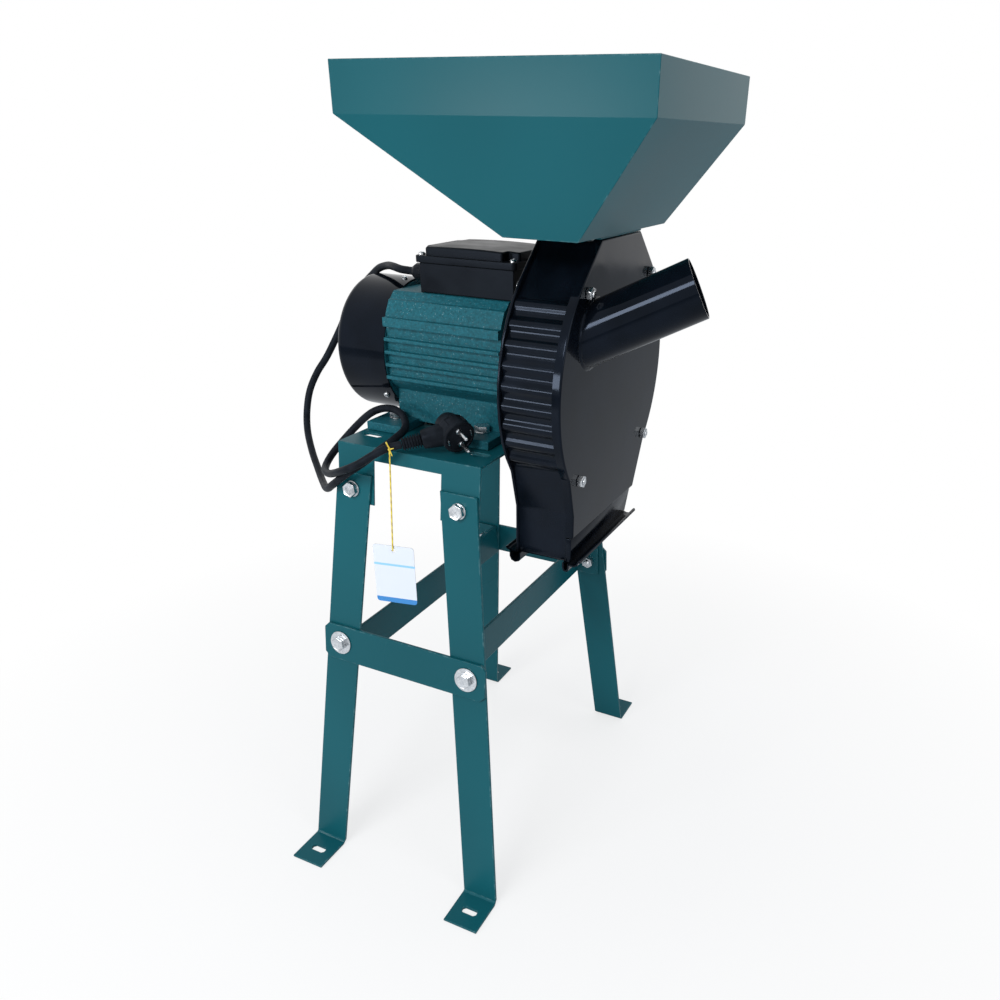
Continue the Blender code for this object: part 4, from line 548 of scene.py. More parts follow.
# %% [markdown]
# ## Supply cord
# A soft PVC cord, 9.5 mm thick, comes out of the gland on the terminal box, hangs beside the fan
# cover, rises over the table's edge, makes a loop on the table and ends in an angled plug. The
# photograph shows all of it, 1.1 m. Its points are the route of the CAD cord. A Catmull-Rom curve
# through them, read at short steps, bends as a cord does; arcs would look like bent wire.

# %% Cord along its route
CORD_R = 4.75
CORD_ROUTE = [(-61.2, -30, 786), (-80, -29.2, 786.8), (-98, -19.5, 787.6), (-119, -3, 785.5),
              (-141, 9, 779.5), (-159, 17, 769), (-178, 22, 755), (-197, 22, 736), (-209, 18, 715),
              (-216, 12, 696),
              (-231, -4, 659), (-246, -12, 635), (-256, -20, 610), (-255, -32, 584), (-244, -48, 561),
              (-219, -72, 543), (-189, -98, 531), (-158, -126, 526), (-126, -156, 533), (-97, -177, 551),
              (-68.6, -182.7, 572.2), (-44.5, -180.7, 589.4), (-29.7, -166.3, 603.3), (-24.7, -143.7, 610.6),
              (-30.9, -112.4, 613.8), (-43.5, -94.6, 620.9), (-58.3, -87.3, 625.8), (-70, -85.3, 626.8),
              (-84.4, -85.9, 624.6), (-99.7, -90, 616.9), (-122.2, -90.2, 598), (-138.6, -102.6, 577.1),
              (-142.5, -123.3, 562.8), (-132.4, -147.7, 556.1), (-105, -172.2, 562), (-66, -195.4, 580),
              (-40.5, -196.5, 593), (-24.5, -185.5, 604), (-12.2, -173.9, 610.9), (0, -164, 614)]


def smooth_chain(points, steps):
    """Points on a Catmull-Rom curve through a chain."""
    chain = [points[0] * 2 - points[1]] + points + [points[-1] * 2 - points[-2]]
    fine = []
    for a, b, c, d in zip(chain, chain[1:], chain[2:], chain[3:]):
        for i in range(steps):
            t = i / steps
            bend = (2 * a - 5 * b + 4 * c - d) * t * t + (3 * b - a - 3 * c + d) * t ** 3
            fine.append(0.5 * (2 * b + (c - a) * t + bend))
    return fine + [points[-1]]


def soft_line(name, points, radius, slot, node):
    """A round flexible line as a bevelled curve of one open spline; also gives its length."""
    data = bpy.data.curves.new(name, "CURVE")
    data.dimensions = "3D"
    data.bevel_depth = radius * MM
    data.bevel_resolution = 6
    data.use_fill_caps = True
    spline = data.splines.new("POLY")
    spline.points.add(len(points) - 1)
    for knot, point in zip(spline.points, points):
        knot.co = (*point, 1)
    data.materials.append(finishes[slot])
    line = in_scene(name, data)
    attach(line, "frame")
    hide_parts(node)
    return line, sum((b - a).length for a, b in zip(points, points[1:]))


route = [stand(*point) for point in CORD_ROUTE]
supply_cord, cord_length = soft_line("supply_cord", smooth_chain(route, 6), CORD_R,
                                     "cord_rubber", "power_cord")
print("supply cord", round(cord_length, 3), "m")

# %% [markdown]
# ## Angled plug
# A moulded round plug with its cord at a right angle to the pins: a drum-shaped head with finger
# grooves and a rounded back, a chunky neck, and a strain relief of seven ribs. Head, neck and pins
# are all turned shapes, so each is a profile spun round its own axis, and an inset sinks the finger
# grooves into the head's side. The neck's axis runs from the cord's end to the head.

# %% Plug head and neck
PLUG_CENTRE = stand(48.2, -125.1, 626)
PLUG_R, GRIPS, GRIP_DEPTH = 20, 8, 1.5
RIDGES, RIDGE_PITCH = 7, 3.2
pin_axis = Vector((0.846, -0.464, -0.263)).normalized()
neck_axis = (PLUG_CENTRE - route[-1]).normalized()
cross_axis = pin_axis.cross(neck_axis).normalized()
head_profile = [(0, -25), (8, -25), (11.5, -24), (14, -21.5), (15.6, -17), (17.4, -10), (19.2, -7),
                (PLUG_R, -5), (PLUG_R, 8), (19.6, 9), (19.6, 10.2), (PLUG_R, 11), (PLUG_R, 13.2),
                (19.4, 14), (17.6, 14), (17, 13), (0, 13)]
neck_profile = [(0, 0.6), (6.4, 0.6), (6.8, 1.2)]
for ridge in range(RIDGES):
    base = 1.6 + RIDGE_PITCH * ridge
    swell = 7.9 + 0.12 * ridge
    neck_profile += [(6.1, base), (swell, base + 0.3), (swell, base + 1.7), (6.1, base + 2.0)]
neck_profile += [(7.4, 24), (10.2, 24.6), (11.4, 26.4), (12.2, 33), (13.2, 44), (13.8, 54),
                 (13.4, 60), (12, 64), (0, 64)]
bm = bmesh.new()
turned(bm, head_profile, 48)
close_up(bm)
bm.faces.ensure_lookup_table()
grip_faces = []
for face in bm.faces:
    middle = face.calc_center_median()
    turn = degrees(atan2(middle.y, middle.x)) % (360 / GRIPS)
    if -5 * MM < middle.z < 8 * MM and middle.xy.length > 18 * MM and turn < 180 / GRIPS:
        grip_faces.append(face)
bmesh.ops.inset_region(bm, faces=grip_faces, thickness=0.6 * MM, depth=-GRIP_DEPTH * MM,
                       use_even_offset=True)
set_on_axis(bm, PLUG_CENTRE, pin_axis, cross_axis)
neck = bmesh.new()
turned(neck, neck_profile, 40)
set_on_axis(neck, route[-1], neck_axis, cross_axis)
join_meshes(bm, neck)
close_up(bm)
angled_plug = piece("angled_plug", bm, "cord_rubber", ["plug"])
neck_length = round((PLUG_CENTRE - route[-1]).length / MM)
print("plug head", 2 * PLUG_R, "mm across, neck", neck_length, "mm long")

# %% Plug pins and earth clip
PIN_SPACING = 19
CLIP_SIZE, CLIP_OUT, CLIP_UP = (8, 1.6, 4), 15, 13
metal = bmesh.new()
pin_profile = [(0, 12), (3.6, 12), (3.6, 14.6), (2.4, 15), (2.4, 31), (2.1, 32.3), (1.2, 33), (0, 33)]
for offset in (-PIN_SPACING / 2, PIN_SPACING / 2):
    pin = bmesh.new()
    turned(pin, pin_profile, 20)
    set_on_axis(pin, PLUG_CENTRE + cross_axis * offset * MM, pin_axis, cross_axis)
    join_meshes(metal, pin)
for side in (-1, 1):
    clip = block(CLIP_SIZE)
    round_edges(clip, clip.edges[:], 0.5)
    spot = PLUG_CENTRE + pin_axis.cross(cross_axis) * side * CLIP_OUT * MM + pin_axis * CLIP_UP * MM
    set_on_axis(clip, spot, pin_axis, cross_axis)
    join_meshes(metal, clip)
close_up(metal)
plug_pins = piece("plug_pins", metal, "zinc")
print("plug pins", PIN_SPACING, "mm apart")

# %% [markdown]
# ## String and tag
# A short twine is looped once round the cord, close to the plug, and carries a card that hangs by its
# hole. The twine is a second small cord: its loop is a helix round the cord's axis, and its tail runs
# straight down to the card.

# %% String round the cord
STRING_R = 0.9
LOOP_R, LOOP_STEPS, LOOP_PITCH = 6.55, 9, 0.27
TIE = 38
TAG_TOP = stand(-13, -178, 486)
loop_turn = (route[TIE + 1] - route[TIE - 1]).to_track_quat("X", "Z").to_matrix()
string_points = []
for step in range(LOOP_STEPS):
    angle = pi * (0.2 * step - 0.6)
    along = LOOP_PITCH * (step - LOOP_STEPS // 2)
    offset = Vector((along, LOOP_R * cos(angle), LOOP_R * sin(angle))) * MM
    string_points.append(route[TIE] + loop_turn @ offset)
hang = TAG_TOP + Vector((0, -1.6, -6)) * MM
knot_spot = string_points[-1]
string_points += [knot_spot.lerp(hang, share) for share in (0.12, 0.4, 0.7, 1.0)]
tag_twine, twine_length = soft_line("tag_twine", smooth_chain(string_points, 6), STRING_R,
                                    "string", "tag_string")
print("twine", round(twine_length, 3), "m")

# %% [markdown]
# Where the loop closes, the twine is tied. The knot is a small bead, and its two loose ends are thin
# cones that stick out sideways, as stiff polyester does.

# %% Knot
KNOT_R, TAIL_LENGTH = 2.0, 9
bm = bmesh.new()
bmesh.ops.create_icosphere(bm, subdivisions=2, radius=KNOT_R * MM)
for lean in (Vector((0.85, -0.3, 0.35)), Vector((0.65, -0.4, -0.65))):
    tail_frame = axis_frame(lean * (TAIL_LENGTH / 2) * MM, lean, Vector((0, 0, 1)))
    bmesh.ops.create_cone(bm, cap_ends=True, segments=10, radius1=0.85 * MM, radius2=0.6 * MM,
                          depth=TAIL_LENGTH * MM, matrix=tail_frame)
bmesh.ops.translate(bm, verts=bm.verts, vec=knot_spot)
twine_knot = piece("twine_knot", bm, "string")
print("knot at", [round(c, 3) for c in knot_spot])

# %% [markdown]
# The card is a thin board. Its hole and outline come from the CAD node, so the copy is merged, its
# four corners are rounded with a bevel, and both faces keep their crisp edges. A card on a string is
# never quite square to the table, so it is turned a little about the twine.

# %% Card
def merged_copy(node):
    """A bmesh of a CAD node with its loose triangles joined to plain faces."""
    bm = bmesh.new()
    bm.from_mesh(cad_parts[node].data)
    bmesh.ops.remove_doubles(bm, verts=bm.verts, dist=0.02 * MM)
    bmesh.ops.dissolve_limit(bm, angle_limit=radians(0.5), verts=bm.verts, edges=bm.edges)
    return bm


CARD_CORNER, CARD_TURN = 4, radians(12)
bm = merged_copy("hang_tag")
tag_low, tag_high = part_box("hang_tag")
corners = [e for e in bm.edges if abs(e.verts[0].co.y - e.verts[1].co.y) > 0.5 * MM
           and min(abs(e.verts[0].co.x - tag_low.x), abs(e.verts[0].co.x - tag_high.x)) < 0.1 * MM
           and min(abs(e.verts[0].co.z - tag_low.z), abs(e.verts[0].co.z - tag_high.z)) < 0.1 * MM]
round_edges(bm, corners, CARD_CORNER, 6)
bmesh.ops.rotate(bm, verts=bm.verts, cent=hang, matrix=Matrix.Rotation(CARD_TURN, 3, "Z"))
piece("swing_card", bm, "card", ["hang_tag"])
print("card", [round(side / MM) for side in tag_high - tag_low])

# %% [markdown]
# ## Dressing the CAD shapes
# The CAD solids have the right shapes but knife edges. Real sheet has rounded folds and cut edges,
# and a line of light runs along each. So each visible solid is copied, its triangles are merged to
# plain faces, and its sharp edges get a small bevel. Very short edges, as round a bolt hole, are left
# alone. Slight folds, from 9 degrees on, are rounded too, or smooth shading would hide them. The copy
# stands for the node, in the same place.

# %% Softening a copy of a node
def sharp_edges(bm, longer_than, sharper_than=28):
    """Edges above a length in millimetres whose two faces meet at more than an angle in degrees."""
    return [e for e in bm.edges if len(e.link_faces) == 2 and e.calc_length() > longer_than * MM
            and e.calc_face_angle(0) > radians(sharper_than)]


SLIGHT_FOLD = 9


def softened(node, name, slot, width, segments=2, body="frame", longer_than=7, finish=None):
    """A copy of a CAD node with its long sharp edges rounded by a width in millimetres."""
    bm = merged_copy(node)
    round_edges(bm, sharp_edges(bm, longer_than, SLIGHT_FOLD), width, segments)
    return piece(name, bm, slot, [node], body, finish=finish)


CORNERS = ("near_left", "near_right", "far_left", "far_right")
softened("table", "folded_table", "teal_paint", 1.0)
for corner in CORNERS:
    softened("leg_" + corner, "leg_bar_" + corner, "teal_paint", 0.9)
for side in ("near", "far", "left", "right"):
    softened("brace_" + side, "brace_bar_" + side, "teal_paint", 0.9)
softened("hopper", "sheet_hopper", "teal_paint", 0.7)
gate_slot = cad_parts["slide_gate"].data.materials[0].name
softened("slide_gate", "gate_plate", gate_slot, 0.6, body="gate", finish="galvanised")
print("stand, hopper and gate dressed")

# %% [markdown]
# ## Flat sheets and pulled blocks
# Castings, lids and covers have flat faces with an outline and sometimes a hole. The outline is a
# ring of edges, the region between rings is filled, and the filled face can be pulled to a block. A
# plane that cuts through everything gives bends and straight ends.

# %% Rings, fills, pulls and cuts
def pick(geom, kind):
    """The vertices, edges or faces among what an operator gave back."""
    return [item for item in geom if isinstance(item, kind)]


def circle(radius, steps):
    """Points (across, up) on a circle."""
    return [(radius * cos(2 * pi * i / steps), radius * sin(2 * pi * i / steps)) for i in range(steps)]


def ring_of_edges(bm, points):
    """A closed ring of edges through points."""
    ring = [bm.verts.new(point) for point in points]
    return [bm.edges.new(pair) for pair in zip(ring, ring[1:] + ring[:1])]


def flat_sheet(bm, rings, normal):
    """Fills the flat region between closed rings of edges; its faces look along a normal."""
    edges = [edge for ring in rings for edge in ring]
    filled = bmesh.ops.triangle_fill(bm, edges=edges, use_beauty=True, use_dissolve=False)
    faces = pick(filled["geom"], BMFace)
    bm.normal_update()
    bmesh.ops.reverse_faces(bm, faces=[face for face in faces if face.normal.dot(normal) < 0])
    return faces


def pull(bm, faces, way):
    """Pulls a flat region to a closed block, along a way in millimetres."""
    pulled = bmesh.ops.extrude_face_region(bm, geom=faces, use_keep_orig=True)
    bmesh.ops.translate(bm, verts=pick(pulled["geom"], BMVert), vec=[step * MM for step in way])
    close_up(bm)


def cut_through(bm, point, normal, clear=False):
    """Cuts everything in a plane, clears what lies below it if asked, and gives the cut."""
    everything = bm.verts[:] + bm.edges[:] + bm.faces[:]
    return bmesh.ops.bisect_plane(bm, geom=everything, plane_co=point, plane_no=normal,
                                  clear_inner=clear)["geom_cut"]


print("sheet tools ready")

# %% [markdown]
# ## Motor body
# The body is one casting: a shouldered box with four thin ribs and one wide rib along each side, a
# bore for the stator, and four foot pads. Its end face is a flat region with a hole, so the region
# between outline and bore is filled and then pulled along the shaft. Rib edges are rounded after that,
# as a casting can't have sharp ones. The wall under the ribs stands back to leave room for the bolts.

# %% Ribbed casting
AXIS_HEIGHT = 690
BODY_BACK, BODY_FRONT = -75, 85
BODY_BORE, BORE_STEPS = 71, 60
RIB_TIP, RIB_ROOT = 82, 75
ARCH_R = 75
PAD_SIZE, PAD_HEIGHT = (52, 55, 11), 605.8
PAD_X, PAD_Y = (-70.5, 54.5), (-74.5, 74.5)
RIBS = [(37, 48)] + [(low, low + 4.5) for low in (19.5, 4, -11.5, -27)]
side_outline = [(54, 76), (63.5, 67.5), (66.5, 67), (67.5, 64), (74, 52.5)]
for rib_low, rib_high in RIBS:
    side_outline += [(RIB_ROOT, rib_high), (RIB_TIP, rib_high), (RIB_TIP, rib_low), (RIB_ROOT, rib_low)]
side_outline += [(72, -33), (58.5, -44), (60.5, -79), (60.5, -83), (52, -83)]
arch = [(ARCH_R * sin(radians(a)), -ARCH_R * cos(radians(a))) for a in range(40, 0, -8)]
half = side_outline + arch
outline = [(-y, h) for y, h in half] + [(0, -ARCH_R)] + half[::-1]
bm = bmesh.new()
outer = ring_of_edges(bm, [stand(BODY_BACK, y, AXIS_HEIGHT + h) for y, h in outline])
bore = ring_of_edges(bm, [stand(BODY_BACK, y, AXIS_HEIGHT + h) for y, h in circle(BODY_BORE, BORE_STEPS)])
end_faces = flat_sheet(bm, [outer, bore], Vector((-1, 0, 0)))
pull(bm, end_faces, (BODY_FRONT - BODY_BACK, 0, 0))
round_edges(bm, sharp_edges(bm, 100, 24), 1.0, 3)
for x in PAD_X:
    for y in PAD_Y:
        pad = block(PAD_SIZE)
        round_edges(pad, pad.edges[:], 1.6)
        bmesh.ops.translate(pad, verts=pad.verts, vec=stand(x, y, PAD_HEIGHT))
        join_meshes(bm, pad)
piece("ribbed_motor_body", bm, "motor_paint", ["motor_body"])
softened("end_shield_front", "front_shield", "motor_paint", 1.2)
softened("end_shield_rear", "rear_shield", "motor_paint", 1.0)
print("motor body with", 2 * len(RIBS), "ribs")

# %% [markdown]
# ## Fan cover
# A deep-drawn cup of black sheet behind the motor, with a well rounded edge and slots in its floor for
# the cooling air. A spun profile gives the cup. Every few sectors of its floor are left out as slots,
# and the wall gets its thickness last, so that the slots have edges too.

# %% Fan cover cup
COWL_R, COWL_ROUND, COWL_BACK, COWL_LENGTH = 84, 10, -150, 74
COWL_SHEET, COWL_STEPS = 1.6, 96
SLOTS, SLOT_TURN, SLOT_INNER, SLOT_OUTER = 8, 11.2, 18, 62
profile = [(0, 0), (SLOT_INNER, 0), (34, 0), (50, 0), (SLOT_OUTER, 0), (68, 0)]
profile += [(COWL_R - COWL_ROUND + COWL_ROUND * sin(radians(a)), COWL_ROUND * (1 - cos(radians(a))))
            for a in range(0, 91, 10)]
profile += [(COWL_R, 45), (COWL_R, COWL_LENGTH), (COWL_R - 0.5, COWL_LENGTH + 0.6)]
bm = bmesh.new()
turned(bm, profile, COWL_STEPS)
close_up(bm)
slot_faces = []
for face in bm.faces:
    middle = face.calc_center_median()
    reach = middle.xy.length / MM
    sector = (degrees(atan2(middle.y, middle.x)) + SLOT_TURN / 2) % (360 / SLOTS)
    if middle.z < 0.1 * MM and SLOT_INNER < reach < SLOT_OUTER and sector < SLOT_TURN:
        slot_faces.append(face)
bmesh.ops.delete(bm, geom=slot_faces, context="FACES")
bmesh.ops.solidify(bm, geom=bm.faces[:], thickness=COWL_SHEET * MM)
close_up(bm)
set_on_axis(bm, stand(COWL_BACK, 0, AXIS_HEIGHT), Vector((1, 0, 0)), Vector((0, 1, 0)))
fan_cowl = piece("fan_cowl", bm, "gloss_black", ["fan_cover"], crease=30)
print("fan cover", [round(side / MM, 1) for side in fan_cowl.dimensions], "with", SLOTS, "slots")

# %% [markdown]
# ## Terminal box and lid
# A moulded box holds the cord's terminals and the capacitor. Its lid has a flange all round and a
# raised crown, which is notched at the corners for the screws and bowed a little along its length.
# The crown is an outline pulled up; cuts across it let the top bend.

# %% Box and flange of the lid
def upright_edges(bm):
    """Edges that climb more than 4 mm, as the corners of a lid do."""
    return [e for e in bm.edges if abs(e.verts[0].co.z - e.verts[1].co.z) > 4 * MM]


softened("terminal_box", "wiring_box", "black_plastic", 1.2, 3)
softened("cable_gland", "cord_gland", "black_plastic", 0.8)
LID_LOW, LID_FLANGE, LID_CROWN = 800.6, 8, 9.5
LID_BACK, LID_FRONT, LID_HALF = -42, 93, 55
bm = block((LID_FRONT - LID_BACK, 2 * LID_HALF, LID_FLANGE))
flange_middle = stand((LID_BACK + LID_FRONT) / 2, 0, LID_LOW + LID_FLANGE / 2)
bmesh.ops.translate(bm, verts=bm.verts, vec=flange_middle)
round_edges(bm, upright_edges(bm), 5, 5)
round_edges(bm, sharp_edges(bm, 0.5, 50), 1.0, 2)
print("lid", LID_FRONT - LID_BACK, "mm long,", 2 * LID_HALF, "mm wide")

# %% Crown of the lid
NOTCH, BACK_NOTCH, CROWN_BOW = 15, 8, 1.9
crown_back, crown_front, crown_side = LID_BACK + 4, LID_FRONT - 4, -LID_HALF + 5
crown_length = crown_front - crown_back
corner_points = [(crown_back, crown_side + NOTCH), (crown_back + BACK_NOTCH, crown_side + NOTCH),
                 (crown_back + BACK_NOTCH, crown_side), (crown_front - NOTCH, crown_side),
                 (crown_front - NOTCH, crown_side + NOTCH), (crown_front, crown_side + NOTCH)]
plan = corner_points + [(x, -y) for x, y in corner_points[::-1]]
crown = bmesh.new()
base_z = LID_LOW + LID_FLANGE - 0.5
crown_edge = ring_of_edges(crown, [stand(x, y, base_z) for x, y in plan])
base_faces = flat_sheet(crown, [crown_edge], Vector((0, 0, -1)))
pull(crown, base_faces, (0, 0, LID_CROWN))
bmesh.ops.dissolve_limit(crown, angle_limit=radians(1), verts=crown.verts, edges=crown.edges)
round_edges(crown, upright_edges(crown), 3, 3)
upper_half = (base_z + LID_CROWN / 2) * MM
round_edges(crown, [e for e in sharp_edges(crown, 0.3, 60)
                    if min(v.co.z for v in e.verts) > upper_half], 2.4, 3)
middle_x = stand((crown_back + crown_front) / 2, 0, 0).x
for step in range(-3, 4):
    cut_through(crown, (middle_x + step * crown_length / 8 * MM, 0, 0), (1, 0, 0))
for vert in crown.verts:
    if vert.co.z > upper_half:
        off = (vert.co.x - middle_x) / (crown_length / 2 * MM)
        vert.co.z += CROWN_BOW * MM * (1 - off * off)
join_meshes(bm, crown)
piece("wiring_box_lid", bm, "black_plastic", ["terminal_box_lid"])
print("lid crown", LID_CROWN, "mm high, notched", NOTCH, "mm at the corners")

# %% [markdown]
# ## Drum
# The mill's housing is a drum with a chute below. Its rear plate and its corrugated rim are copies of
# the CAD shapes. The waves of the rim get a wide bevel on their outer side, since pressed sheet has no
# sharp folds, and smooth shading does the rest. The chute's foot carries two rails for a bag: thin
# sheet, bent to a hanging channel below and a rolled lip outside. The CAD has a plain hook there, so
# the last centimetre of each copy is cut off, pulled down anew without the hook, and bent sheet put
# on it.

# %% Foot without its hook, and bent sheet
FOOT_HEIGHT, FOOT_CUT, FAR_WALL_SLOPE = 482, 10.5, 0.515
RAIL_ENDS = (-117, 66)


def plain_foot(bm):
    """Cuts a copy above its hook and pulls the cut straight down to the chute's foot."""
    cut = cut_through(bm, (0, 0, (FOOT_HEIGHT + FOOT_CUT) * MM), (0, 0, 1), clear=True)
    pulled = bmesh.ops.extrude_edge_only(bm, edges=pick(cut, BMEdge))
    for vert in pick(pulled["geom"], BMVert):
        vert.co.z = FOOT_HEIGHT * MM
        if vert.co.y > 0:
            vert.co.y -= FAR_WALL_SLOPE * FOOT_CUT * MM
    foot_edges = [e for e in bm.edges if len(e.link_faces) == 1]
    bmesh.ops.triangle_fill(bm, edges=foot_edges, use_beauty=True, use_dissolve=False)
    bmesh.ops.recalc_face_normals(bm, faces=bm.faces)


def bent_sheet(bm, bends, thickness=2.0):
    """Adds a sheet along Y; bends are its corners as (x, height over the foot) in millimetres."""
    sheet = bmesh.new()
    chain = [sheet.verts.new(stand(x, RAIL_ENDS[0], FOOT_HEIGHT + h)) for x, h in bends]
    edges = [sheet.edges.new(pair) for pair in zip(chain, chain[1:])]
    far_end = pick(bmesh.ops.extrude_edge_only(sheet, edges=edges)["geom"], BMVert)
    bmesh.ops.translate(sheet, verts=far_end, vec=(0, (RAIL_ENDS[1] - RAIL_ENDS[0]) * MM, 0))
    bmesh.ops.recalc_face_normals(sheet, faces=sheet.faces)
    bmesh.ops.solidify(sheet, geom=sheet.faces[:], thickness=thickness * MM)
    bmesh.ops.recalc_face_normals(sheet, faces=sheet.faces)
    join_meshes(bm, sheet)


print("foot of the chute at", FOOT_HEIGHT, "mm")

# %% Rear plate with its rail
bm = merged_copy("mill_rear_plate")
plain_foot(bm)
round_edges(bm, sharp_edges(bm, 7), 0.9)
bent_sheet(bm, [(126, 3), (117, 3.2), (114, 4.4), (113, 6.4)])
bent_sheet(bm, [(129.5, 0.5), (129.5, -6), (127.8, -9.6), (124, -11), (120.2, -9.6), (118.5, -6), (118.5, 3)])
piece("drum_back", bm, "gloss_black", ["mill_rear_plate"], finish="satin_black")
print("rear plate with a bent rail")

# %% Corrugated rim with its apron and rail
WAVE_ROUND = 2.9
APRON_BACK, APRON_SHEET, APRON_RISE = 189.5, 7.5, 31
APRON_NEAR, APRON_FAR = -112.5, 63.5


def on_outside(edge):
    """True for an edge across the drum whose two faces look away from the shaft."""
    first, second = (vert.co for vert in edge.verts)
    outward = (first + second) / 2 - stand(0, 0, AXIS_HEIGHT)
    outward.x = 0
    facing = sum((face.normal for face in edge.link_faces), Vector())
    return abs(first.x - second.x) > 40 * MM and facing.dot(outward) > 0


bm = merged_copy("mill_rim")
plain_foot(bm)
waves = [e for e in sharp_edges(bm, 40, 15) if on_outside(e)]
round_edges(bm, waves, WAVE_ROUND, 5)
apron = bmesh.new()
apron_plan = [(APRON_NEAR, 0), (APRON_FAR, 0), (APRON_FAR + FAR_WALL_SLOPE * APRON_RISE, APRON_RISE),
              (APRON_NEAR, APRON_RISE)]
apron_edge = ring_of_edges(apron, [stand(APRON_BACK, y, FOOT_HEIGHT + h) for y, h in apron_plan])
pull(apron, flat_sheet(apron, [apron_edge], Vector((-1, 0, 0))), (APRON_SHEET, 0, 0))
bmesh.ops.dissolve_limit(apron, angle_limit=radians(1), verts=apron.verts, edges=apron.edges)
round_edges(apron, apron.edges[:], 0.8)
join_meshes(bm, apron)
bent_sheet(bm, [(197, 0.5), (197, -6), (195.6, -9.6), (192.5, -11), (189.4, -9.6), (188, -6), (188, 0.5)])
bent_sheet(bm, [(196, 0.6), (200, -0.4), (204, 0), (206.6, 2), (207.8, 5), (208.6, 7), (210, 7.8),
                (211.4, 7), (211.9, 4.6)])
piece("corrugated_rim", bm, "gloss_black", ["mill_rim"], crease=60, finish="satin_black", flat=False)
print("rim with", len(waves), "rounded folds")

# %% [markdown]
# ## Drum cover and feed tube
# The cover is a flat sheet with a skirt folded back round its edge, cut from an outline of arcs and
# straight shoulders. The region between the outline and the tube's hole is filled, the edge is pulled
# back for the skirt, its corner is rounded, and the sheet gets its thickness. The tube is spun, cut
# off level with the cover, and welded on: the bead is a thin ring pushed along the tube until it lies
# on the sheet.

# %% Cover outline
DRUM_HEIGHT, DRUM_R, DRUM_FRONT = 683, 157, 200
NEAR_ANGLE, FAR_ANGLE, TOP_ANGLE, TOP_HALF = 216, -43.5, 132, 58
CHUTE_NEAR, CHUTE_FAR, CHUTE_KNEE, CHUTE_DEPTH, COVER_DEPTH = -114, 66, -140, 201, 169
ARC_STEPS, KNEE_SHARE = 30, 0.45


def on_drum(angle):
    """A point (across, up) on the drum's round, at an angle in degrees."""
    return DRUM_R * cos(radians(angle)), DRUM_R * sin(radians(angle))


def drum_arc(start, end):
    """Points on the drum's round from one angle to another."""
    return [on_drum(start + (end - start) * i / ARC_STEPS) for i in range(ARC_STEPS + 1)]


near_y, near_h = on_drum(NEAR_ANGLE)
far_y, far_h = on_drum(FAR_ANGLE)
slope = (CHUTE_FAR - far_y) / (-CHUTE_DEPTH - far_h)
knee = (near_y + (CHUTE_NEAR - near_y) * KNEE_SHARE, near_h + (CHUTE_KNEE - near_h) * KNEE_SHARE)
cover_edge = [(CHUTE_NEAR, -COVER_DEPTH), (CHUTE_NEAR, CHUTE_KNEE), knee]
cover_edge += drum_arc(NEAR_ANGLE, TOP_ANGLE)
cover_edge += [(-TOP_HALF, DRUM_R), (TOP_HALF, DRUM_R)]
cover_edge += drum_arc(180 - TOP_ANGLE, FAR_ANGLE)
cover_edge += [(far_y + slope * (-COVER_DEPTH - far_h), -COVER_DEPTH)]
print("cover outline of", len(cover_edge), "points")

# %% Cover sheet
TUBE_R, TUBE_WALL, HOLE_STEPS = 32.5, 2, 48
SKIRT_DEPTH, COVER_SHEET = 10, 2
tube_axis = Vector((0.867, 0.252, 0.430)).normalized()
tube_root = stand(DRUM_FRONT, -77, DRUM_HEIGHT + 63)
tube_frame = axis_frame(tube_root, tube_axis, Vector((0, 1, 0)))
cover_x = tube_root.x


def slide_to_cover(point, off=0.0):
    """Moves a point along the tube until it lies a distance in front of the cover."""
    return point + tube_axis * ((cover_x + off - point.x) / tube_axis.x)


bm = bmesh.new()
edge_ring = ring_of_edges(bm, [stand(DRUM_FRONT, y, DRUM_HEIGHT + h) for y, h in cover_edge])
hole_round = circle((TUBE_R - TUBE_WALL) * MM, HOLE_STEPS)
hole_ring = ring_of_edges(bm, [slide_to_cover(tube_frame @ Vector((x, y, 0))) for x, y in hole_round])
flat_sheet(bm, [edge_ring, hole_ring], Vector((1, 0, 0)))
skirt = pick(bmesh.ops.extrude_edge_only(bm, edges=edge_ring)["geom"], BMVert)
bmesh.ops.translate(bm, verts=skirt, vec=(-SKIRT_DEPTH * MM, 0, 0))
bmesh.ops.recalc_face_normals(bm, faces=bm.faces)
if max(bm.faces, key=lambda face: face.calc_area()).normal.x < 0:
    bmesh.ops.reverse_faces(bm, faces=bm.faces)
round_edges(bm, sharp_edges(bm, 0, 60), 2.2, 4)
bmesh.ops.solidify(bm, geom=bm.faces[:], thickness=COVER_SHEET * MM)
foremost = max(vert.co.x for vert in bm.verts)
print("cover sheet reaches", round((foremost - cover_x) / MM, 2), "mm past its face")

# %% Feed tube and its weld
TUBE_LENGTH, TUBE_ROOT, TUBE_STEPS = 122, -30, 72
BEAD_R, BEAD_RIPPLE, BEAD_RIPPLES = 2.2, 0.18, 38
tube_bore = TUBE_R - TUBE_WALL
tube = bmesh.new()
turned(tube, [(TUBE_R, TUBE_ROOT), (TUBE_R, TUBE_LENGTH - 0.6), (TUBE_R - 0.5, TUBE_LENGTH),
              (tube_bore + 0.5, TUBE_LENGTH), (tube_bore, TUBE_LENGTH - 0.6), (tube_bore, TUBE_ROOT)],
       TUBE_STEPS)
bmesh.ops.remove_doubles(tube, verts=tube.verts, dist=0.01 * MM)
bmesh.ops.transform(tube, matrix=tube_frame, verts=tube.verts)
cut_through(tube, (cover_x - 1 * MM, 0, 0), (1, 0, 0), clear=True)
bmesh.ops.recalc_face_normals(tube, faces=tube.faces)
join_meshes(bm, tube)
bead = bmesh.new()
bead_round = circle(BEAD_R, 8)
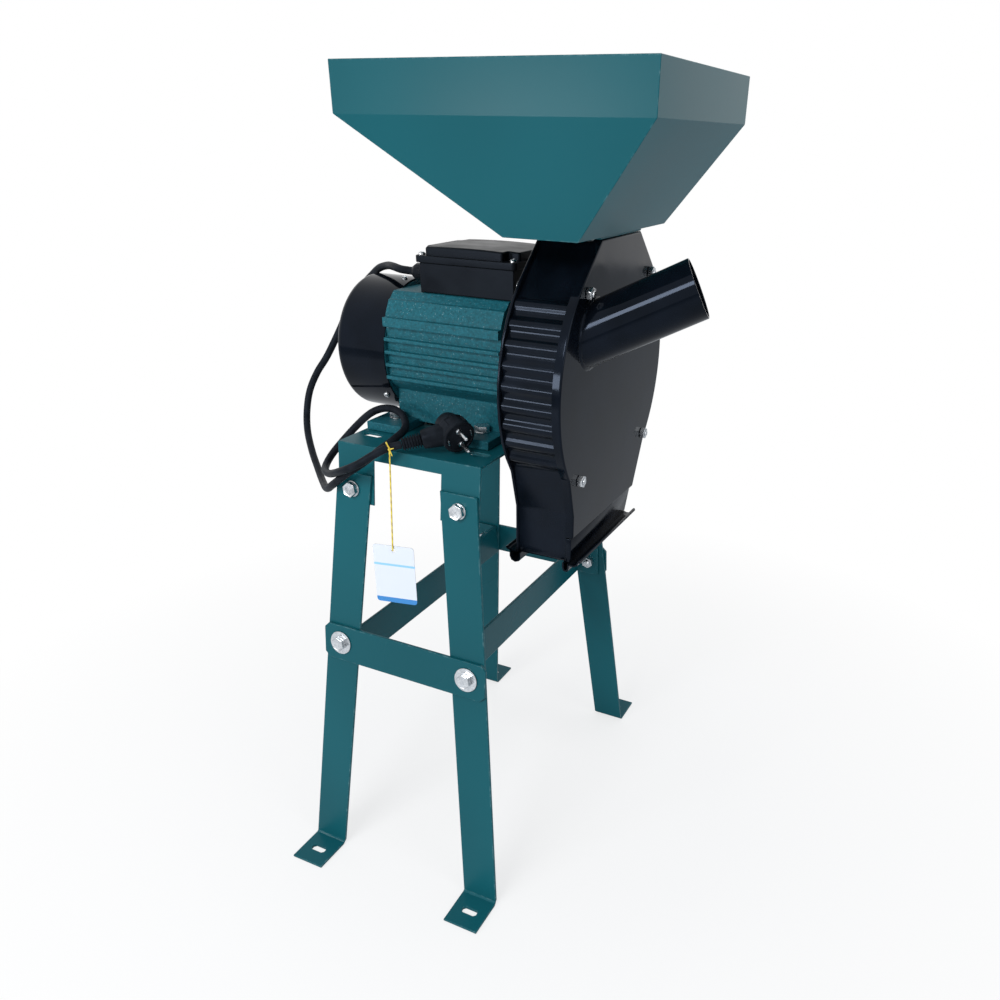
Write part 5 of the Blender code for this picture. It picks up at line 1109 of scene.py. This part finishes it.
turned(bead, [(TUBE_R + x, y) for x, y in bead_round + bead_round[:1]], TUBE_STEPS)
close_up(bead)
for vert in bead.verts:
    ripple = 1 + BEAD_RIPPLE * sin(BEAD_RIPPLES * atan2(vert.co.y, vert.co.x))
    lift = vert.co.z * ripple
    vert.co = slide_to_cover(tube_frame @ Vector((vert.co.x, vert.co.y, 0)), lift)
bmesh.ops.recalc_face_normals(bead, faces=bead.faces)
join_meshes(bm, bead)
piece("drum_cover", bm, "gloss_black", ["mill_cover"], crease=40)
print("cover with a tube of", TUBE_LENGTH, "mm")

# %% [markdown]
# ## Hex bolts
# Zinc-plated bolts hold the legs, the motor's feet and the drum. Each is a hex head, a washer where
# one is given, a threaded shank and a nut on one axis. The axis's direction is given; the CAD bolt
# gives the middle of its head and the far end of its tip. Hexes are six-sided cones with bevelled
# edges; washer and thread are spun.

# %% Bolts
THREAD_PITCH, THREAD_DEPTH = 1.25, 0.55
LEG_LEAN = 0.123
LEG_BOLT = {"flats": 17, "shank": 5, "head": 6.5, "washer": 2, "washer_r": 10, "nut": 8, "tip": 4}
BRACE_BOLT = {**LEG_BOLT, "washer_r": 16}
COVER_BOLT = {"flats": 13, "shank": 4, "head": 5.5, "washer": 0, "washer_r": 0, "nut": 6.5, "tip": 4,
              "cut": 2.6}
HEX_SIDE = Vector((0.97, 0.1, 0.22))
DISH_EDGE, DISH_DEPTH = 1.8, 0.7


def hex_block(bm, flats, low, high):
    """A hex prism with softened edges, across flats and between two heights in millimetres."""
    radius = flats * MM / (2 * cos(pi / 6))
    made = bmesh.ops.create_cone(bm, cap_ends=True, segments=6, radius1=radius, radius2=radius,
                                 depth=(high - low) * MM,
                                 matrix=Matrix.Translation((0, 0, (low + high) / 2 * MM)))
    edges = dict.fromkeys(edge for vert in made["verts"] for edge in vert.link_edges)
    round_edges(bm, list(edges), 0.7)


def hex_bolt(node, axis, flats, shank, head, washer, washer_r, nut, tip, cut=0.0):
    """A bolt on the axis of a CAD bolt, from head to tip, in millimetres; cut shortens the tip."""
    corners = {tuple(round(c, 6) for c in v.co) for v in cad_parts[node].data.vertices}
    along = {spot: Vector(spot).dot(axis) for spot in corners}
    start, end = min(along.values()), max(along.values())
    top = [Vector(spot) for spot in corners if along[spot] < start + 0.05 * MM]
    length = (end - start) / MM
    bm = bmesh.new()
    hex_block(bm, flats, 0, head)
    outer = min(bm.faces, key=lambda face: face.calc_center_median().z)
    bmesh.ops.inset_individual(bm, faces=[outer], thickness=DISH_EDGE * MM, depth=-DISH_DEPTH * MM,
                               use_even_offset=True)
    hex_block(bm, flats, length - tip - nut, length - tip)
    if washer:
        turned(bm, [(shank, head), (washer_r - 0.4, head), (washer_r, head + 0.4),
                    (washer_r, head + washer - 0.2), (washer_r - 0.2, head + washer),
                    (shank, head + washer), (shank, head)], 36)
    thread = [(shank, head * 0.8), (shank, length - tip - 0.5)]
    for ridge in range(int((tip - cut) / THREAD_PITCH)):
        base = length - tip + ridge * THREAD_PITCH
        thread += [(shank - THREAD_DEPTH, base), (shank, base + 0.6)]
    turned(bm, thread + [(shank - 0.8, length - cut), (0, length - cut)], 24)
    close_up(bm)
    set_on_axis(bm, sum(top, Vector()) / len(top), axis, HEX_SIDE)
    return piece("zinc_" + node, bm, "zinc", [node], crease=30)


for corner in CORNERS:
    outward = -1 if corner.startswith("near") else 1
    inward = -Vector((0, outward, LEG_LEAN)).normalized()
    hex_bolt("upper_bolt_" + corner, inward, **LEG_BOLT)
    hex_bolt("lower_bolt_" + corner, inward, **BRACE_BOLT)
    hex_bolt("motor_bolt_" + corner, Vector((0, 0, -1)), **LEG_BOLT)
for place in ("far_top", "near_top", "near_low", "far_low"):
    hex_bolt("cover_bolt_" + place, Vector((1, 0, 0)), **COVER_BOLT)
print("16 bolts made")

# %% [markdown]
# ## Small screws
# Four pan-head screws hold the lid, in the notches of its crown, and three the fan cover. A pan
# head is a flat dome with a small drive recess, so it is a spun profile: the recess dips in the
# middle, and the skirt of the head runs a little into the sheet that it holds.

# %% Pan-head screws
PAN_HEAD = [(0, 1.4), (1.2, 1.5), (1.5, 3.1), (2.4, 3.0), (3.4, 2.5), (4.0, 1.6), (4.1, -0.8), (0, -0.8)]
LID_SCREW_X, LID_SCREW_Y = (-37, 86), 46
COWL_SCREW_X, COWL_SCREW_TURNS = -88, (98, 218, 338)
SCREW_SIDE = Vector((0.9, 0.1, 0.4))


def pan_screws(name, slot, places, nodes=()):
    """One piece of several pan heads; places are pairs of a point and an outward direction."""
    bm = bmesh.new()
    for point, outward in places:
        head = bmesh.new()
        turned(head, PAN_HEAD, 20)
        set_on_axis(head, point, outward, SCREW_SIDE)
        join_meshes(bm, head)
    close_up(bm)
    return piece(name, bm, slot, nodes, crease=30)


lid_top = LID_LOW + LID_FLANGE
lid_places = [(stand(x, side * LID_SCREW_Y, lid_top), Vector((0, 0, 1)))
              for x in LID_SCREW_X for side in (-1, 1)]
pan_screws("lid_screws", "zinc", lid_places)
cowl_places = []
for angle in COWL_SCREW_TURNS:
    outward = Vector((0, cos(radians(angle)), sin(radians(angle))))
    cowl_places.append((stand(COWL_SCREW_X, 0, AXIS_HEIGHT) + outward * COWL_R * MM, outward))
pan_screws("fan_cowl_screws", "zinc", cowl_places)
print(len(lid_places) + len(cowl_places), "pan-head screws made")

# %% [markdown]
# ## Finishes for the CAD shapes inside
# Shaft, rotor, hammers, sieve, windings, bearings and fan keep their CAD shapes. Each still shows in
# an open drum or through a vent, so the plain colour from the pack is exchanged for the finish of
# its slot.

# %% Inner nodes
dressed_nodes = 0
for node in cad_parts.values():
    for slot in node.material_slots:
        slot.material = finishes[slot.material.name.split(".")[0]]
        dressed_nodes += 1
print("finishes given to", dressed_nodes, "CAD slots")
